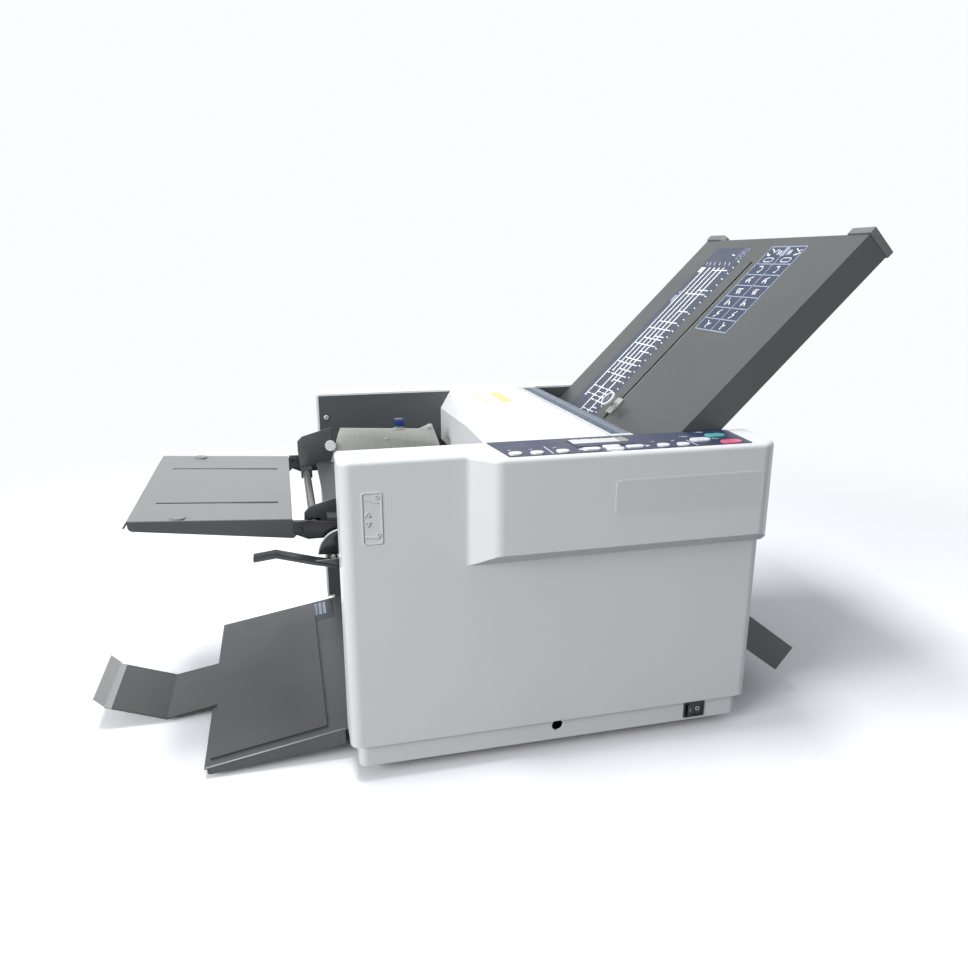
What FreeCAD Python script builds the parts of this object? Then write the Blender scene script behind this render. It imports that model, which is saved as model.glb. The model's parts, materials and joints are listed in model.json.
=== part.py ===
import FreeCAD, Part
import math
import os

# Desktop paper folding machine with two fold plates.
# Millimetres. While it is built, X = 0 is the left end of the housings, Y = 0 the face of the front
# housing and Z = 0 the table it stands on. +X points to the fold plates, +Y to the back.

Vec = FreeCAD.Vector

# Housings
body_length = 470.0
body_depth = 465.0
body_top = 358.0
housing_band = 49.0
housing_wall = 2.5
corner_radius = 12.0
top_round = 5.0
lip_height = 42.7
skirt_bottom = 16.0
skirt_inset = 6.0
skirt_end_inset = 8.5
skirt_hole_x = 233.2
skirt_hole_z = 33.2
skirt_hole_radius = 6.6
bulge_start_x = 129.0
bulge_face_x = 154.0
bulge_end_x = 452.0
bulge_side_x = 465.0
bulge_return_x = 470.0
bulge_depth = 26.0
bulge_corner = 12.0
bulge_return = 4.0
bulge_bottom_out = 257.0
bulge_bottom_in = 240.0
bulge_round = 8.0
bulge_end_round = 14.0
mark_left = 21.3
mark_right = 41.5
mark_bottom = 272.0
mark_top = 326.0
mark_line = 1.1
mark_height = 0.5
mark_round = 3.0
badge_left = 300.0
badge_right = 446.0
badge_bottom = 279.0
badge_top = 330.0
badge_thick = 0.6
badge_round = 6.0

# Frames, base and feet
frame_thick = 3.0
frame_end_inset = 2.8
frame_bottom = 17.0
frame_top = 355.5
base_thick = 3.0
base_inset = 12.0
foot_height = 14.0
foot_radius = 14.0
foot_taper = 2.0
foot_x = 26.0
foot_y = 24.0
foot_rear_x = 440.0
tie_radius = 5.0
screw_radius = 3.6
screw_height = 1.9
frame_screw_x = 12.5
frame_screw_z = 324.0

# Gaps and overruns
run_gap = 0.3
bore_gap = 0.05
over = 5.0

# Fold rollers and gears
roller_radius = 15.0
roller_pitch = 30.4
roller_shaft = 6.0
roller_x = 297.0
roller_z = 243.0
roller_turn = 60.0
roller_end_gap = 3.0
gear_teeth = 24
gear_width = 8.0
gear_tip_share = 0.9
gear_root_share = 1.15
tooth_tip_share = 0.12
tooth_root_share = 0.3
pulley_width = 12.0
bearing_radius = 9.5
bearing_flange = 11.5
bearing_lip = 1.2
main_pulley = 28.0
motor_pulley_radius = 10.0
motor_x = 265.0
motor_z = 95.0
motor_radius = 32.0
motor_length = 84.0
small_pulley = 10.0
feed_pulley = 12.0
front_pulley_width = 8.0
belt_thick = 1.6
pulley_flange = 0.8

# Feed rollers, separator and exit rollers
feed_x = 206.0
feed_z = 296.8
feed_shaft = 5.0
tyre_radius = 18.0
tyre_width = 15.0
tyre_gap = 5.0
hub_radius = 9.0
separator_length = 22.0
separator_width = 35.0
separator_height = 13.0
separator_pad_height = 2.6
separator_drop = 0.3
exit_x = 45.0
exit_z = 66.0
exit_radius = 12.0
exit_wheel_width = 22.0
exit_shaft = 5.0
idler_gap = 0.6

# Control panel and keys
panel_thick = 0.6
panel_left_front = 166.3
panel_left_rear = 159.2
panel_right_front = 435.0
panel_right_rear = 441.9
panel_front = -19.7
panel_rear = 47.5
window_left = 244.8
window_right = 310.7
window_front = 4.0
window_rear = 27.6
window_thick = 0.5
key_height = 1.8
key_travel = 1.0
key_gap = 0.3
key_corner_share = 0.45
nav_key_depth = 8.6
key_stem_length = 6.0
key_length = 11.0
nav_key_length = 9.5
large_key_length = 13.0
small_key_width = 13.4
nav_key_width = 19.5
large_key_width = 22.5

# Power rocker and mains inlet
rocker_left = 391.4
rocker_right = 418.0
rocker_bottom = 19.0
rocker_top = 38.6
rocker_rim = 2.0
rocker_gap = 0.3
rocker_depth = 16.0
rocker_rock = 6.0
rocker_crown = 1.4
bezel_flange = 1.2
inlet_x = 405.0
inlet_z = 90.0
inlet_width = 28.0
inlet_height = 20.0
inlet_depth = 18.0
inlet_flange = 5.0
inlet_pin = 2.0

# Top cover, ruler strip and right end cover
cover_left = 182.3
cover_roof_left = 198.0
cover_ridge_end = 331.0
cover_ridge_mid = 337.0
cover_bottom = 284.0
cover_wall = 2.5
cover_gap = 0.5
hinge_x = 300.5
hinge_z = 354.0
hinge_radius = 3.8
hinge_pin = 2.0
cover_side_bottom = 314.0
cover_slot_front = 340.0
cover_slot_rear = 368.0
cover_slot_top = 298.0
cover_slot_depth = 1.2
strip_left = 304.7
strip_right = 330.35
strip_thick = 3.0
strip_ribs = 22
rib_height = 0.5
end_sheet = 3.0
end_cover_x = 466.0
end_cover_bottom = 168.0
end_cover_bend_z = 320.0
end_cover_top_x = 448.0
end_cover_top_z = 345.0

# Fold plate 1
plate_angle = 44.84
plate_top_x = 605.5
plate_top_z = 573.4
plate_front = 51.5
plate_rear = 413.7
plate_sheet = 2.0
plate_flange = 35.5
plate_length = 403.0
plate_slot_start = 43.4
plate_slot_end = 330.5
plate_slot_y = 235.0
plate_slot_width = 5.0
channel_gap = 6.0
channel_sheet = 1.5
knob_place = 309.0
knob_radius = 13.0
knob_height = 7.0
knob_disc_radius = 10.5
knob_disc_height = 1.6
knob_neck = 2.2
stop_bar_width = 8.0
stop_bar_height = 4.0
cap_reach = 10.0
cap_wall = 2.5
cap_length = 44.0
cap_skirt = 24.0

# Fold plate 2
plate2_angle = 37.6
plate2_tip_x = 556.6
plate2_tip_z = 51.2
plate2_half = 18.0
plate2_length = 272.0
plate2_cap = 4.0
plate2_slot_start = 25.0
plate2_slot_end = 235.0
knob2_place = 195.0
stop2_travel_up = 36.0

# Feed table and brackets
table_left = -215.0
table_fold_x = -210.0
table_right = -45.0
table_front = 86.8
table_rear = 381.5
table_height = 277.5
table_slope_share = 0.0612
table_sheet = 2.0
table_lip_drop = 7.0
table_flange_left = 11.0
table_flange_right = 22.0
table_slot_left = -190.0
table_slot_right = -60.0
table_slot_front = 151.0
table_slot_rear = 308.0
table_slot_width = 7.0
plug_radius = 8.0
plug_height = 1.6
plug_front_x = -162.0
plug_front_y = 94.8
plug_rear_x = -161.0
plug_rear_y = 370.6
table_pin_x = -40.0
table_pin_z = 271.0
table_pin_radius = 2.5
bracket_left = -48.0
bracket_right = 42.0
bracket_bottom = 246.0
bracket_top = 263.0
bracket_sheet = 2.5
standoff_x = 34.0
standoff_low = 252.0
standoff_high = 262.0
standoff_radius = 4.0
rail_x = -22.0
rail_z = 250.0
rail_radius = 5.0
lift_pin_x = -4.0
lift_pin_z = 266.0
lift_pin_radius = 2.5

# Lift plate and lever
lift_left = -8.0
lift_right = 184.0
lift_side_gap = 3.0
lift_sheet = 2.0
lift_range = 8.0
lever_x = 8.0
lever_z = 237.0
lever_shaft = 4.0
lever_front = 56.0
lever_rear = 76.0
lever_thick = 3.0
lever_tip_x = -86.0
lever_tip_z = 243.0
lever_knee_x = -63.3
lever_knee_z = 250.5
lever_mid_x = -25.0
lever_mid_z = 234.0
lever_end_x = -3.6
lever_end_z = 224.6
sector_radius = 33.0
sector_thick = 2.5
sector_start = 100.0
sector_end = 200.0
finger_radius = 6.0
finger_front = 140.0
finger_rear = 325.0
finger_width = 10.0
finger_reach = 24.0

# Paper guides
guide_front = 110.5
guide_rear = 342.0
guide_sheet = 2.5
slider_left = -31.0
slider_right = -13.0
slider_bottom = 242.0
slider_top = 258.0
slider_width = 12.0
side_left = 12.0
side_right = 168.0
side_sheet = 1.6
side_low = 272.5
guide_knob_x = 109.0
guide_knob_z = 325.0
guide_knob_radius = 8.5
guide_knob_length = 14.0
guide_knob_stem = 3.0
roller_cap_radius = 7.5
roller_cap_z = 299.0

# Exit side
chute_slope = 30.0
chute_x = 304.6
chute_z = 229.9
chute_drop = 10.0
chute_right = 290.0
chute_left = 62.0
chute_sheet = 1.5
guide_right_x = 262.0
guide_right_z = 215.3
guide_low_x = 66.0
guide_low_z = 102.3
guide_step_z = 116.0
guide_left_x = 26.0
guide_top_z = 228.0
tray_front = 49.0
tray_rear = 416.0
tray_left_x = -156.0
tray_left_z = 13.0
tray_right_x = 20.0
tray_right_z = 43.0
tray_sheet = 2.0
tray_flange_left = 9.0
tray_flange_right = 20.0
tray_tab = 3.0
ext_front = 62.0
ext_rear = 403.0
ext_left = -150.0
ext_right = -22.0
ext_sheet = 2.0
arm_front = 177.0
arm_rear = 288.0
arm_bend_x = -210.0
arm_bend_z = 4.0
arm_end_x = -278.5
arm_end_z = 30.0
lip_end_x = -290.0
lip_end_z = 42.0
lip_front = 179.0
lip_rear = 291.0
lip_thick = 2.0
lip_end_gap = 10.0
guide_back_x = -34.0
guide_chamfer = 6.0
guide_nose_x = 16.0
guide_rise = 12.0
front_guide_low = 264.0
front_guide_high = 281.0
rear_guide_low = 292.0
rear_guide_high = 314.0
side_left_z = 322.0
side_shoulder_x = 26.0
side_shoulder_z = 330.0
side_valley_x = 138.0
side_valley_z = 313.0
side_ear_left = 149.0
side_ear_right = 158.0
side_ear_z = 327.0
side_right_z = 294.0
knob_grips = 8

parts = {}


def box(x0, x1, y0, y1, z0, z1):
    return Part.makeBox(x1 - x0, y1 - y0, z1 - z0, Vec(x0, y0, z0))


def rod(x, z, radius, y0, y1):
    return Part.makeCylinder(radius, y1 - y0, Vec(x, y0, z), Vec(0, 1, 0))


def tube(x, z, radius, bore, y0, y1):
    return rod(x, z, radius, y0, y1).cut(rod(x, z, bore, y0 - over, y1 + over))


def post(x, y, radius, z0, z1):
    return Part.makeCylinder(radius, z1 - z0, Vec(x, y, z0))


def rounded_wire(corners, radii):
    """Closed loop of straight lines joined by tangent arcs, one radius for each corner."""
    edges = []
    ends = []
    count = len(corners)
    for index in range(count):
        here = corners[index]
        back = (corners[index - 1] - here).normalize()
        ahead = (corners[(index + 1) % count] - here).normalize()
        radius = radii[index]
        if radius > 0:
            half = back.getAngle(ahead) / 2
            reach = radius / math.tan(half)
            middle = (back + ahead).normalize() * (radius / math.sin(half) - radius)
            start, finish = here + back * reach, here + ahead * reach
            edges.append(Part.Arc(start, here + middle, finish).toShape())
        else:
            start = finish = here
        ends.append((start, finish))
    for index in range(count):
        start, finish = ends[index][1], ends[(index + 1) % count][0]
        if start.distanceToPoint(finish) > bore_gap:
            edges.append(Part.LineSegment(start, finish).toShape())
    return Part.Wire(Part.sortEdges(edges)[0])


def spread(radii, corners):
    return list(radii) if isinstance(radii, (list, tuple)) else [radii] * len(corners)


def profile(outline, y0, y1, radii=0):
    """Outline in X and Z, carried from y0 to y1."""
    corners = [Vec(x, y0, z) for x, z in outline]
    face = Part.Face(rounded_wire(corners, spread(radii, corners)))
    return face.extrude(Vec(0, y1 - y0, 0))


def plan(outline, z0, z1, radii=0):
    """Outline in X and Y, carried from z0 to z1."""
    corners = [Vec(x, y, z0) for x, y in outline]
    face = Part.Face(rounded_wire(corners, spread(radii, corners)))
    return face.extrude(Vec(0, 0, z1 - z0))


def rectangle(a0, a1, b0, b1):
    return [(a0, b0), (a1, b0), (a1, b1), (a0, b1)]


def mitred(path, distance, closed=False):
    """The same outline moved sideways, to the left of its own direction."""
    moved = []
    count = len(path)
    for index in range(count):
        sides = []
        if closed or index > 0:
            sides.append((path[index - 1], path[index]))
        if closed or index < count - 1:
            sides.append((path[index], path[(index + 1) % count]))
        normals = []
        for (ax, az), (bx, bz) in sides:
            length = math.hypot(bx - ax, bz - az)
            normals.append((-(bz - az) / length, (bx - ax) / length))
        nx = sum(n[0] for n in normals)
        nz = sum(n[1] for n in normals)
        share = len(normals) / (nx * nx + nz * nz) * distance
        moved.append((path[index][0] + nx * share, path[index][1] + nz * share))
    return moved


def bent_sheet(path, thick, y0, y1, bend=0):
    """Sheet bent along a path in X and Z; its other face lies to the left of the path."""
    other = mitred(path, thick)
    radii = [0] * (2 * len(path))
    for index in range(1, len(path) - 1):
        radii[index] = bend
        radii[2 * len(path) - 1 - index] = bend
    return profile(path + other[::-1], y0, y1, radii)


def loop(x1, z1, r1, x2, z2, r2, y0, y1):
    """Stadium round two pulleys of different size."""
    run = math.hypot(x2 - x1, z2 - z1)
    base = math.atan2(z2 - z1, x2 - x1)
    lean = math.acos((r1 - r2) / run)

    def at(x, z, radius, angle):
        return Vec(x + radius * math.cos(angle), y0, z + radius * math.sin(angle))

    p1, p2 = at(x1, z1, r1, base + lean), at(x2, z2, r2, base + lean)
    q1, q2 = at(x1, z1, r1, base - lean), at(x2, z2, r2, base - lean)
    wire = Part.Wire([
        Part.LineSegment(p1, p2).toShape(),
        Part.Arc(p2, at(x2, z2, r2, base), q2).toShape(),
        Part.LineSegment(q2, q1).toShape(),
        Part.Arc(q1, at(x1, z1, r1, base + math.pi), p1).toShape(),
    ])
    return Part.Face(wire).extrude(Vec(0, y1 - y0, 0))


def belt(x1, z1, r1, x2, z2, r2, y0, y1):
    inner = run_gap
    outer = run_gap + belt_thick
    ring = loop(x1, z1, r1 + outer, x2, z2, r2 + outer, y0, y1)
    return ring.cut(loop(x1, z1, r1 + inner, x2, z2, r2 + inner, y0 - over, y1 + over))


def join(*solids):
    result = solids[0]
    for solid in solids[1:]:
        result = result.fuse(solid)
    return result.removeSplitter()


def cut(shape, *tools):
    for tool in tools:
        shape = shape.cut(tool)
    return shape


def rounded(shape, radius, chosen):
    edges = [edge for edge in shape.Edges if chosen(edge)]
    return shape.makeFillet(radius, edges)


def group(*solids):
    return Part.makeCompound(list(solids))


def near(a, b):
    return abs(a - b) < bore_gap


# Places that follow from the sizes
rear_band = body_depth - housing_band
front_plate_face = housing_band - frame_thick
rear_plate_face = rear_band + frame_thick
middle_y = body_depth / 2


def mirrored(shape):
    """The same piece on the other side of the machine."""
    return shape.mirror(Vec(0, middle_y, 0), Vec(0, 1, 0))


def roller_place(turn):
    angle = math.radians(turn)
    return roller_x + roller_pitch * math.cos(angle), roller_z + roller_pitch * math.sin(angle)


roller_1 = roller_place(2 * roller_turn)
roller_2 = (roller_x, roller_z)
roller_3 = roller_place(roller_turn / 2)
roller_4 = roller_place(-roller_turn)


# Housings
def housing_block(inset, top, bottom):
    radii = [0, corner_radius - inset, corner_radius - inset, 0]
    outline = [(inset, housing_band), (inset, inset), (body_length - inset, inset), (body_length - inset, housing_band)]
    return plan(outline, bottom, top, radii)


def skirt_block(inset, bottom):
    left = skirt_end_inset + inset
    right = body_length - skirt_end_inset - inset
    face = skirt_inset + inset
    outline = [(left, housing_band), (left, face), (right, face), (right, housing_band)]
    radius = corner_radius - skirt_inset / 2 - inset
    return plan(outline, bottom, lip_height + housing_wall, [0, radius, radius, 0])


def bulge_block(inset, top):
    """Operating bulge of the front housing with its sloped underside."""
    outline = [
        (bulge_start_x - housing_band, housing_band),
        (bulge_start_x - housing_band, 0),
        (bulge_start_x, 0),
        (bulge_face_x, -bulge_depth),
        (bulge_end_x, -bulge_depth),
        (bulge_side_x, -bulge_depth + bulge_corner),
        (bulge_return_x, bulge_return),
        (bulge_return_x, housing_band),
    ]
    radii = [0, 0, bulge_round, bulge_end_round, bulge_end_round, bulge_round, bulge_round, 0]
    if inset > 0:
        outline = mitred(outline, inset, closed=True)
    signs = [0, 0, 1, -1, -1, -1, -1, 0]
    radii = [radius + sign * inset for radius, sign in zip(radii, signs)]
    block = plan(outline, bulge_bottom_in + inset, top, radii)
    rise = (bulge_bottom_out - bulge_bottom_in) / bulge_depth
    low = bulge_bottom_in + inset
    wedge = Part.Face(Part.makePolygon([
        Vec(0, 0, low), Vec(0, -bulge_depth - over, low + rise * (bulge_depth + over)),
        Vec(0, -bulge_depth - over, low - over), Vec(0, 0, low - over), Vec(0, 0, low),
    ])).extrude(Vec(body_length + over, 0, 0))
    return block.cut(wedge)


def top_edge(edge):
    bounds = edge.BoundBox
    return near(bounds.ZMin, body_top) and near(bounds.ZMax, body_top) and not (
        near(bounds.YMin, housing_band) and near(bounds.YMax, housing_band))


def open_inside():
    main = housing_block(housing_wall, body_top - housing_wall, lip_height + housing_wall)
    skirt = skirt_block(housing_wall, skirt_bottom - over)
    return main, skirt


front_outer = join(
    housing_block(0, body_top, lip_height),
    skirt_block(0, skirt_bottom),
    bulge_block(0, body_top),
)
front_outer = rounded(front_outer, top_round, top_edge)
main_space, skirt_space = open_inside()
front_cover = cut(
    front_outer,
    main_space,
    skirt_space,
    bulge_block(housing_wall, body_top - housing_wall),
    rod(skirt_hole_x, skirt_hole_z, skirt_hole_radius, 0, housing_band - frame_thick),
)

rear_outer = join(housing_block(0, body_top, lip_height), skirt_block(0, skirt_bottom))
rear_outer = rounded(rear_outer, top_round, top_edge)
rear_cover = mirrored(cut(rear_outer, main_space, skirt_space))


# Frames, base plate, feet and tie rods
shaft_bores = [
    (roller_1, bearing_radius), (roller_2, bearing_radius), (roller_3, bearing_radius), (roller_4, bearing_radius),
    ((feed_x, feed_z), feed_shaft + bore_gap), ((exit_x, exit_z), exit_shaft + bore_gap),
    ((exit_x, exit_z + 2 * exit_radius + idler_gap), exit_shaft + bore_gap),
    ((lever_x, lever_z), lever_shaft + bore_gap),
]
motor_shaft = roller_shaft


def side_frame(y0, y1, bores):
    left, right = frame_end_inset, body_length - frame_end_inset
    low_left = skirt_end_inset + housing_wall + run_gap
    low_right = body_length - low_left
    shoulder = lip_height + housing_wall + run_gap
    outline = [(low_left, frame_bottom), (low_right, frame_bottom), (low_right, shoulder), (right, shoulder),
               (right, frame_top), (left, frame_top), (left, shoulder), (low_left, shoulder)]
    shape = profile(outline, y0, y1)
    for (x, z), radius in bores:
        shape = shape.cut(rod(x, z, radius, y0 - over, y1 + over))
    return shape


front_side_frame = side_frame(front_plate_face, housing_band, shaft_bores)
rear_bores = shaft_bores + [((motor_x, motor_z), motor_shaft + bore_gap)]
rear_side_frame = side_frame(rear_band, rear_plate_face, rear_bores)

base_plate = plan(
    rectangle(base_inset, body_length - base_inset, front_plate_face, rear_plate_face),
    foot_height, foot_height + base_thick, bulge_round)
base_wing = plan(
    rectangle(base_inset, body_length - base_inset, skirt_inset + housing_wall + run_gap, front_plate_face),
    foot_height, foot_height + base_thick, [corner_radius, corner_radius, 0, 0])
base_plate = join(base_plate, base_wing, mirrored(base_wing))


def foot(x, y):
    return Part.makeCone(foot_radius - foot_taper, foot_radius, foot_height, Vec(x, y, 0))


foot_places = [(x, y) for x in (foot_x, foot_rear_x) for y in (foot_y, body_depth - foot_y)]
feet = group(*[foot(x, y) for x, y in foot_places])

plate_axis = math.radians(plate_angle)
plate2_axis = math.radians(plate2_angle)


def on_plate_1(down, out):
    """Place in X and Z: down the slope from the top edge of fold plate 1, and out from its face."""
    x = plate_top_x - down * math.cos(plate_axis) - out * math.sin(plate_axis)
    z = plate_top_z - down * math.sin(plate_axis) + out * math.cos(plate_axis)
    return x, z


def on_plate_2(back, out):
    """Place in X and Z: back up the slope from the tip of fold plate 2, and out from its middle."""
    x = plate2_tip_x - back * math.cos(plate2_axis) + out * math.sin(plate2_axis)
    z = plate2_tip_z + back * math.sin(plate2_axis) + out * math.cos(plate2_axis)
    return x, z


rest_down = 300.0
rest_1 = on_plate_1(rest_down, -plate_flange - run_gap - tie_radius)
rest_2 = on_plate_2(plate2_length / 2 + housing_band, -plate2_half - run_gap - tie_radius)
rest_3 = on_plate_2(plate2_length - housing_band, -plate2_half - run_gap - tie_radius)
tie_places = [rest_1, rest_2, rest_3, (base_inset + foot_radius * 2, foot_height * 2 + base_thick),
              (body_length - base_inset - foot_radius * 2, foot_height * 2 + base_thick)]
cross_bars = group(*[rod(x, z, tie_radius, housing_band, rear_band) for x, z in tie_places])


def screw(x, z, y, side):
    """Pan head screw on a frame; side is +1 where its head points to the back."""
    head = Part.makeCylinder(screw_radius, screw_height, Vec(x, y, z), Vec(0, side, 0))
    rim = [edge for edge in head.Edges if near(edge.CenterOfMass.y, y + side * screw_height)
           and edge.Length > screw_radius * math.pi]
    return head.makeFillet(screw_height / 2, rim)


screws = [
    screw(frame_screw_x, frame_screw_z, rear_band, -1),
    screw(frame_screw_x, frame_screw_z, housing_band, 1),
    screw(frame_screw_x, frame_screw_z / 3, rear_band, -1),
    screw(frame_screw_x, frame_screw_z / 3, housing_band, 1),
]
hinge_pins = [
    rod(hinge_x, hinge_z, hinge_pin, housing_band, housing_band + foot_radius),
    rod(hinge_x, hinge_z, hinge_pin, rear_band - foot_radius, rear_band),
]
frame_fasteners = group(*screws, *hinge_pins)


def bearing(x, z, y0, y1, outward):
    """Flanged bush in one frame; its flange lies on the outer face."""
    bush = rod(x, z, bearing_radius, y0, y1)
    lip_y = y1 if outward > 0 else y0 - bearing_lip
    flange = rod(x, z, bearing_flange, lip_y, lip_y + bearing_lip)
    return cut(join(bush, flange), rod(x, z, roller_shaft + bore_gap, y0 - over, y1 + over))


roller_places = [roller_1, roller_2, roller_3, roller_4]
roller_bearings = group(
    *[bearing(x, z, front_plate_face, housing_band, -1) for x, z in roller_places],
    *[bearing(x, z, rear_band, rear_plate_face, 1) for x, z in roller_places],
)

# Gears, pulleys and rollers
gear_front = rear_plate_face + bearing_lip + housing_wall
gear_rear = gear_front + gear_width
pulley_front = gear_rear + housing_wall
pulley_rear = pulley_front + pulley_width
front_pulley_rear = front_plate_face - bearing_lip - housing_wall
front_pulley_front = front_pulley_rear - front_pulley_width
roller_front = housing_band + roller_end_gap
roller_rear = rear_band - roller_end_gap
gear_module = roller_pitch / gear_teeth


def gear(x, z, phase):
    pitch = 360.0 / gear_teeth
    tip = roller_pitch / 2 + gear_tip_share * gear_module
    root = roller_pitch / 2 - gear_root_share * gear_module
    outline = []
    for tooth in range(gear_teeth):
        middle = phase + tooth * pitch
        for radius, share in ((root, -tooth_root_share), (tip, -tooth_tip_share),
                              (tip, tooth_tip_share), (root, tooth_root_share)):
            angle = math.radians(middle + share * pitch)
            outline.append((x + radius * math.cos(angle), z + radius * math.sin(angle)))
    return profile(outline, gear_front, gear_rear)


def pulley(x, z, radius, y0, y1):
    """Belt pulley with a flange at each side."""
    flange = pulley_flange
    core = rod(x, z, radius, y0, y1)
    return join(core, rod(x, z, radius + belt_thick, y0 - flange, y0), rod(x, z, radius + belt_thick, y1, y1 + flange))


def fold_roller(place, phase, front_end, rear_end):
    x, z = place
    body = rod(x, z, roller_radius, roller_front, roller_rear)
    shaft = rod(x, z, roller_shaft, front_end, rear_end)
    wheel = cut(gear(x, z, phase), rod(x, z, roller_shaft, gear_front - over, gear_rear + over))
    return join(body, shaft), wheel


plain_end = front_plate_face - bearing_lip - gear_width / 2
half_tooth = 180.0 / gear_teeth
fold_roller_1 = group(
    *fold_roller(roller_1, half_tooth, front_pulley_front - housing_wall, gear_rear + belt_thick),
    cut(pulley(*roller_1, small_pulley, front_pulley_front, front_pulley_rear),
        rod(*roller_1, roller_shaft, 0, housing_band)))
fold_roller_2 = group(
    *fold_roller(roller_2, 0, plain_end, pulley_rear + belt_thick),
    cut(pulley(*roller_2, main_pulley, pulley_front, pulley_rear),
        rod(*roller_2, roller_shaft, rear_band, body_depth)))
fold_roller_3 = group(*fold_roller(roller_3, half_tooth, plain_end, gear_rear + belt_thick))
fold_roller_4 = group(
    *fold_roller(roller_4, half_tooth, front_pulley_front - housing_wall, gear_rear + belt_thick),
    cut(pulley(*roller_4, small_pulley, front_pulley_front, front_pulley_rear),
        rod(*roller_4, roller_shaft, 0, housing_band)))

drive_motor = cut(
    rod(motor_x, motor_z, motor_radius, rear_band - motor_length, rear_band),
    rod(motor_x, motor_z, motor_shaft + bore_gap, rear_band - motor_length / 3, rear_band + over))
motor_pulley = join(
    rod(motor_x, motor_z, motor_shaft, rear_band - motor_length / 3 + run_gap, pulley_rear + belt_thick),
    pulley(motor_x, motor_z, motor_pulley_radius, pulley_front, pulley_rear))

drive_belts = group(
    belt(*roller_2, main_pulley, motor_x, motor_z, motor_pulley_radius,
         pulley_front + run_gap, pulley_rear - run_gap),
    belt(*roller_1, small_pulley, feed_x, feed_z, feed_pulley,
         front_pulley_front + run_gap, front_pulley_rear - run_gap),
    belt(*roller_4, small_pulley, exit_x, exit_z, small_pulley,
         front_pulley_front + run_gap, front_pulley_rear - run_gap),
)

# Feed roller, separator and delivery rollers
tyre_places = [middle_y - tyre_gap / 2 - tyre_width, middle_y + tyre_gap / 2]
feed_roller = group(
    join(rod(feed_x, feed_z, feed_shaft, front_pulley_front - housing_wall, rear_plate_face + run_gap),
         rod(feed_x, feed_z, hub_radius, tyre_places[0] - tyre_gap, tyre_places[1] + tyre_width + tyre_gap)),
    *[tube(feed_x, feed_z, tyre_radius, hub_radius, y, y + tyre_width) for y in tyre_places],
    cut(pulley(feed_x, feed_z, feed_pulley, front_pulley_front, front_pulley_rear),
        rod(feed_x, feed_z, feed_shaft, 0, housing_band)),
)

pad_top = feed_z - tyre_radius - separator_drop
holder_top = pad_top - separator_pad_height
holder_bottom = holder_top - separator_height
separator_rod_z = holder_bottom - tie_radius
separator_left = feed_x - separator_length / 2
separator_right = feed_x + separator_length / 2
holder_front = middle_y - separator_width / 2
holder_rear = middle_y + separator_width / 2
separator_pad = group(
    profile(rectangle(separator_left, separator_right, holder_top, pad_top), holder_front + housing_wall,
            holder_rear - housing_wall, separator_pad_height / 3),
    cut(profile([(separator_left, separator_rod_z), (separator_right, separator_rod_z),
                 (separator_right, holder_top), (separator_left, holder_top)], holder_front, holder_rear, housing_wall),
        rod(feed_x, separator_rod_z, tie_radius, 0, body_depth)),
    rod(feed_x, separator_rod_z, tie_radius, housing_band, rear_band),
)

idler_z = exit_z + 2 * exit_radius + idler_gap
wheel_places = [housing_band + share * (rear_band - housing_band) for share in (0.12, 0.36, 0.64, 0.88)]


def wheel_row(x, z, front_end, rear_end):
    shaft = rod(x, z, exit_shaft, front_end, rear_end)
    wheels = [rod(x, z, exit_radius, y - exit_wheel_width / 2, y + exit_wheel_width / 2) for y in wheel_places]
    return join(shaft, *wheels)


exit_roller = group(
    wheel_row(exit_x, exit_z, front_pulley_front - housing_wall, rear_plate_face + run_gap),
    cut(pulley(exit_x, exit_z, small_pulley, front_pulley_front, front_pulley_rear),
        rod(exit_x, exit_z, exit_shaft, 0, housing_band)))
exit_idlers = wheel_row(exit_x, idler_z, front_plate_face - run_gap, rear_plate_face + run_gap)


# Control panel and keys
key_table = {
    "preset_key": (174.9, -10.6, small_key_width, key_length),
    "count_key": (197.1, -12.0, small_key_width, key_length),
    "test_key": (224.5, -11.6, small_key_width, key_length),
    "left_key": (256.2, -9.8, nav_key_width, nav_key_length),
    "up_key": (280.1, -4.4, nav_key_width, nav_key_depth),
    "down_key": (280.1, -15.2, nav_key_width, nav_key_depth),
    "right_key": (304.0, -9.8, nav_key_width, nav_key_length),
    "slower_key": (335.7, -10.9, small_key_width, key_length),
    "faster_key": (358.0, -11.7, small_key_width, key_length),
    "clear_key": (385.7, 3.7, large_key_width, large_key_length),
    "start_key": (412.0, 19.4, large_key_width, large_key_length),
    "stop_key": (413.2, -12.6, large_key_width, large_key_length),
}
panel_top = body_top + panel_thick
key_low = body_top - housing_wall - key_stem_length
board_top = key_low - key_travel - run_gap


def key_outline(x, y, width, length, gap):
    return rectangle(x - width / 2 - gap, x + width / 2 + gap, y - length / 2 - gap, y + length / 2 + gap)


def key_cap(x, y, width, length):
    corner = min(width, length) * key_corner_share
    cap = plan(key_outline(x, y, width, length, 0), key_low, panel_top + key_height, corner)
    top = panel_top + key_height
    return rounded(cap, key_height / 3, lambda edge: near(edge.BoundBox.ZMin, top) and near(edge.BoundBox.ZMax, top))


def key_hole(x, y, width, length):
    corner = min(width, length) * key_corner_share + run_gap
    return plan(key_outline(x, y, width, length, run_gap), key_low, panel_top + over, corner)


panel_outline = [
    (panel_left_front, panel_front), (panel_right_front, panel_front),
    (panel_right_rear, panel_rear), (panel_left_rear, panel_rear),
]
panel_sheet = plan(panel_outline, body_top, panel_top, key_travel * 2)
key_holes = [key_hole(*place) for place in key_table.values()]
window = plan(rectangle(window_left, window_right, window_front, window_rear),
              panel_top, panel_top + window_thick, key_travel * 2)
control_panel = group(cut(panel_sheet, *key_holes), window)
front_cover = cut(front_cover, *key_holes)
key_parts = {name: key_cap(*place) for name, place in key_table.items()}

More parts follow.
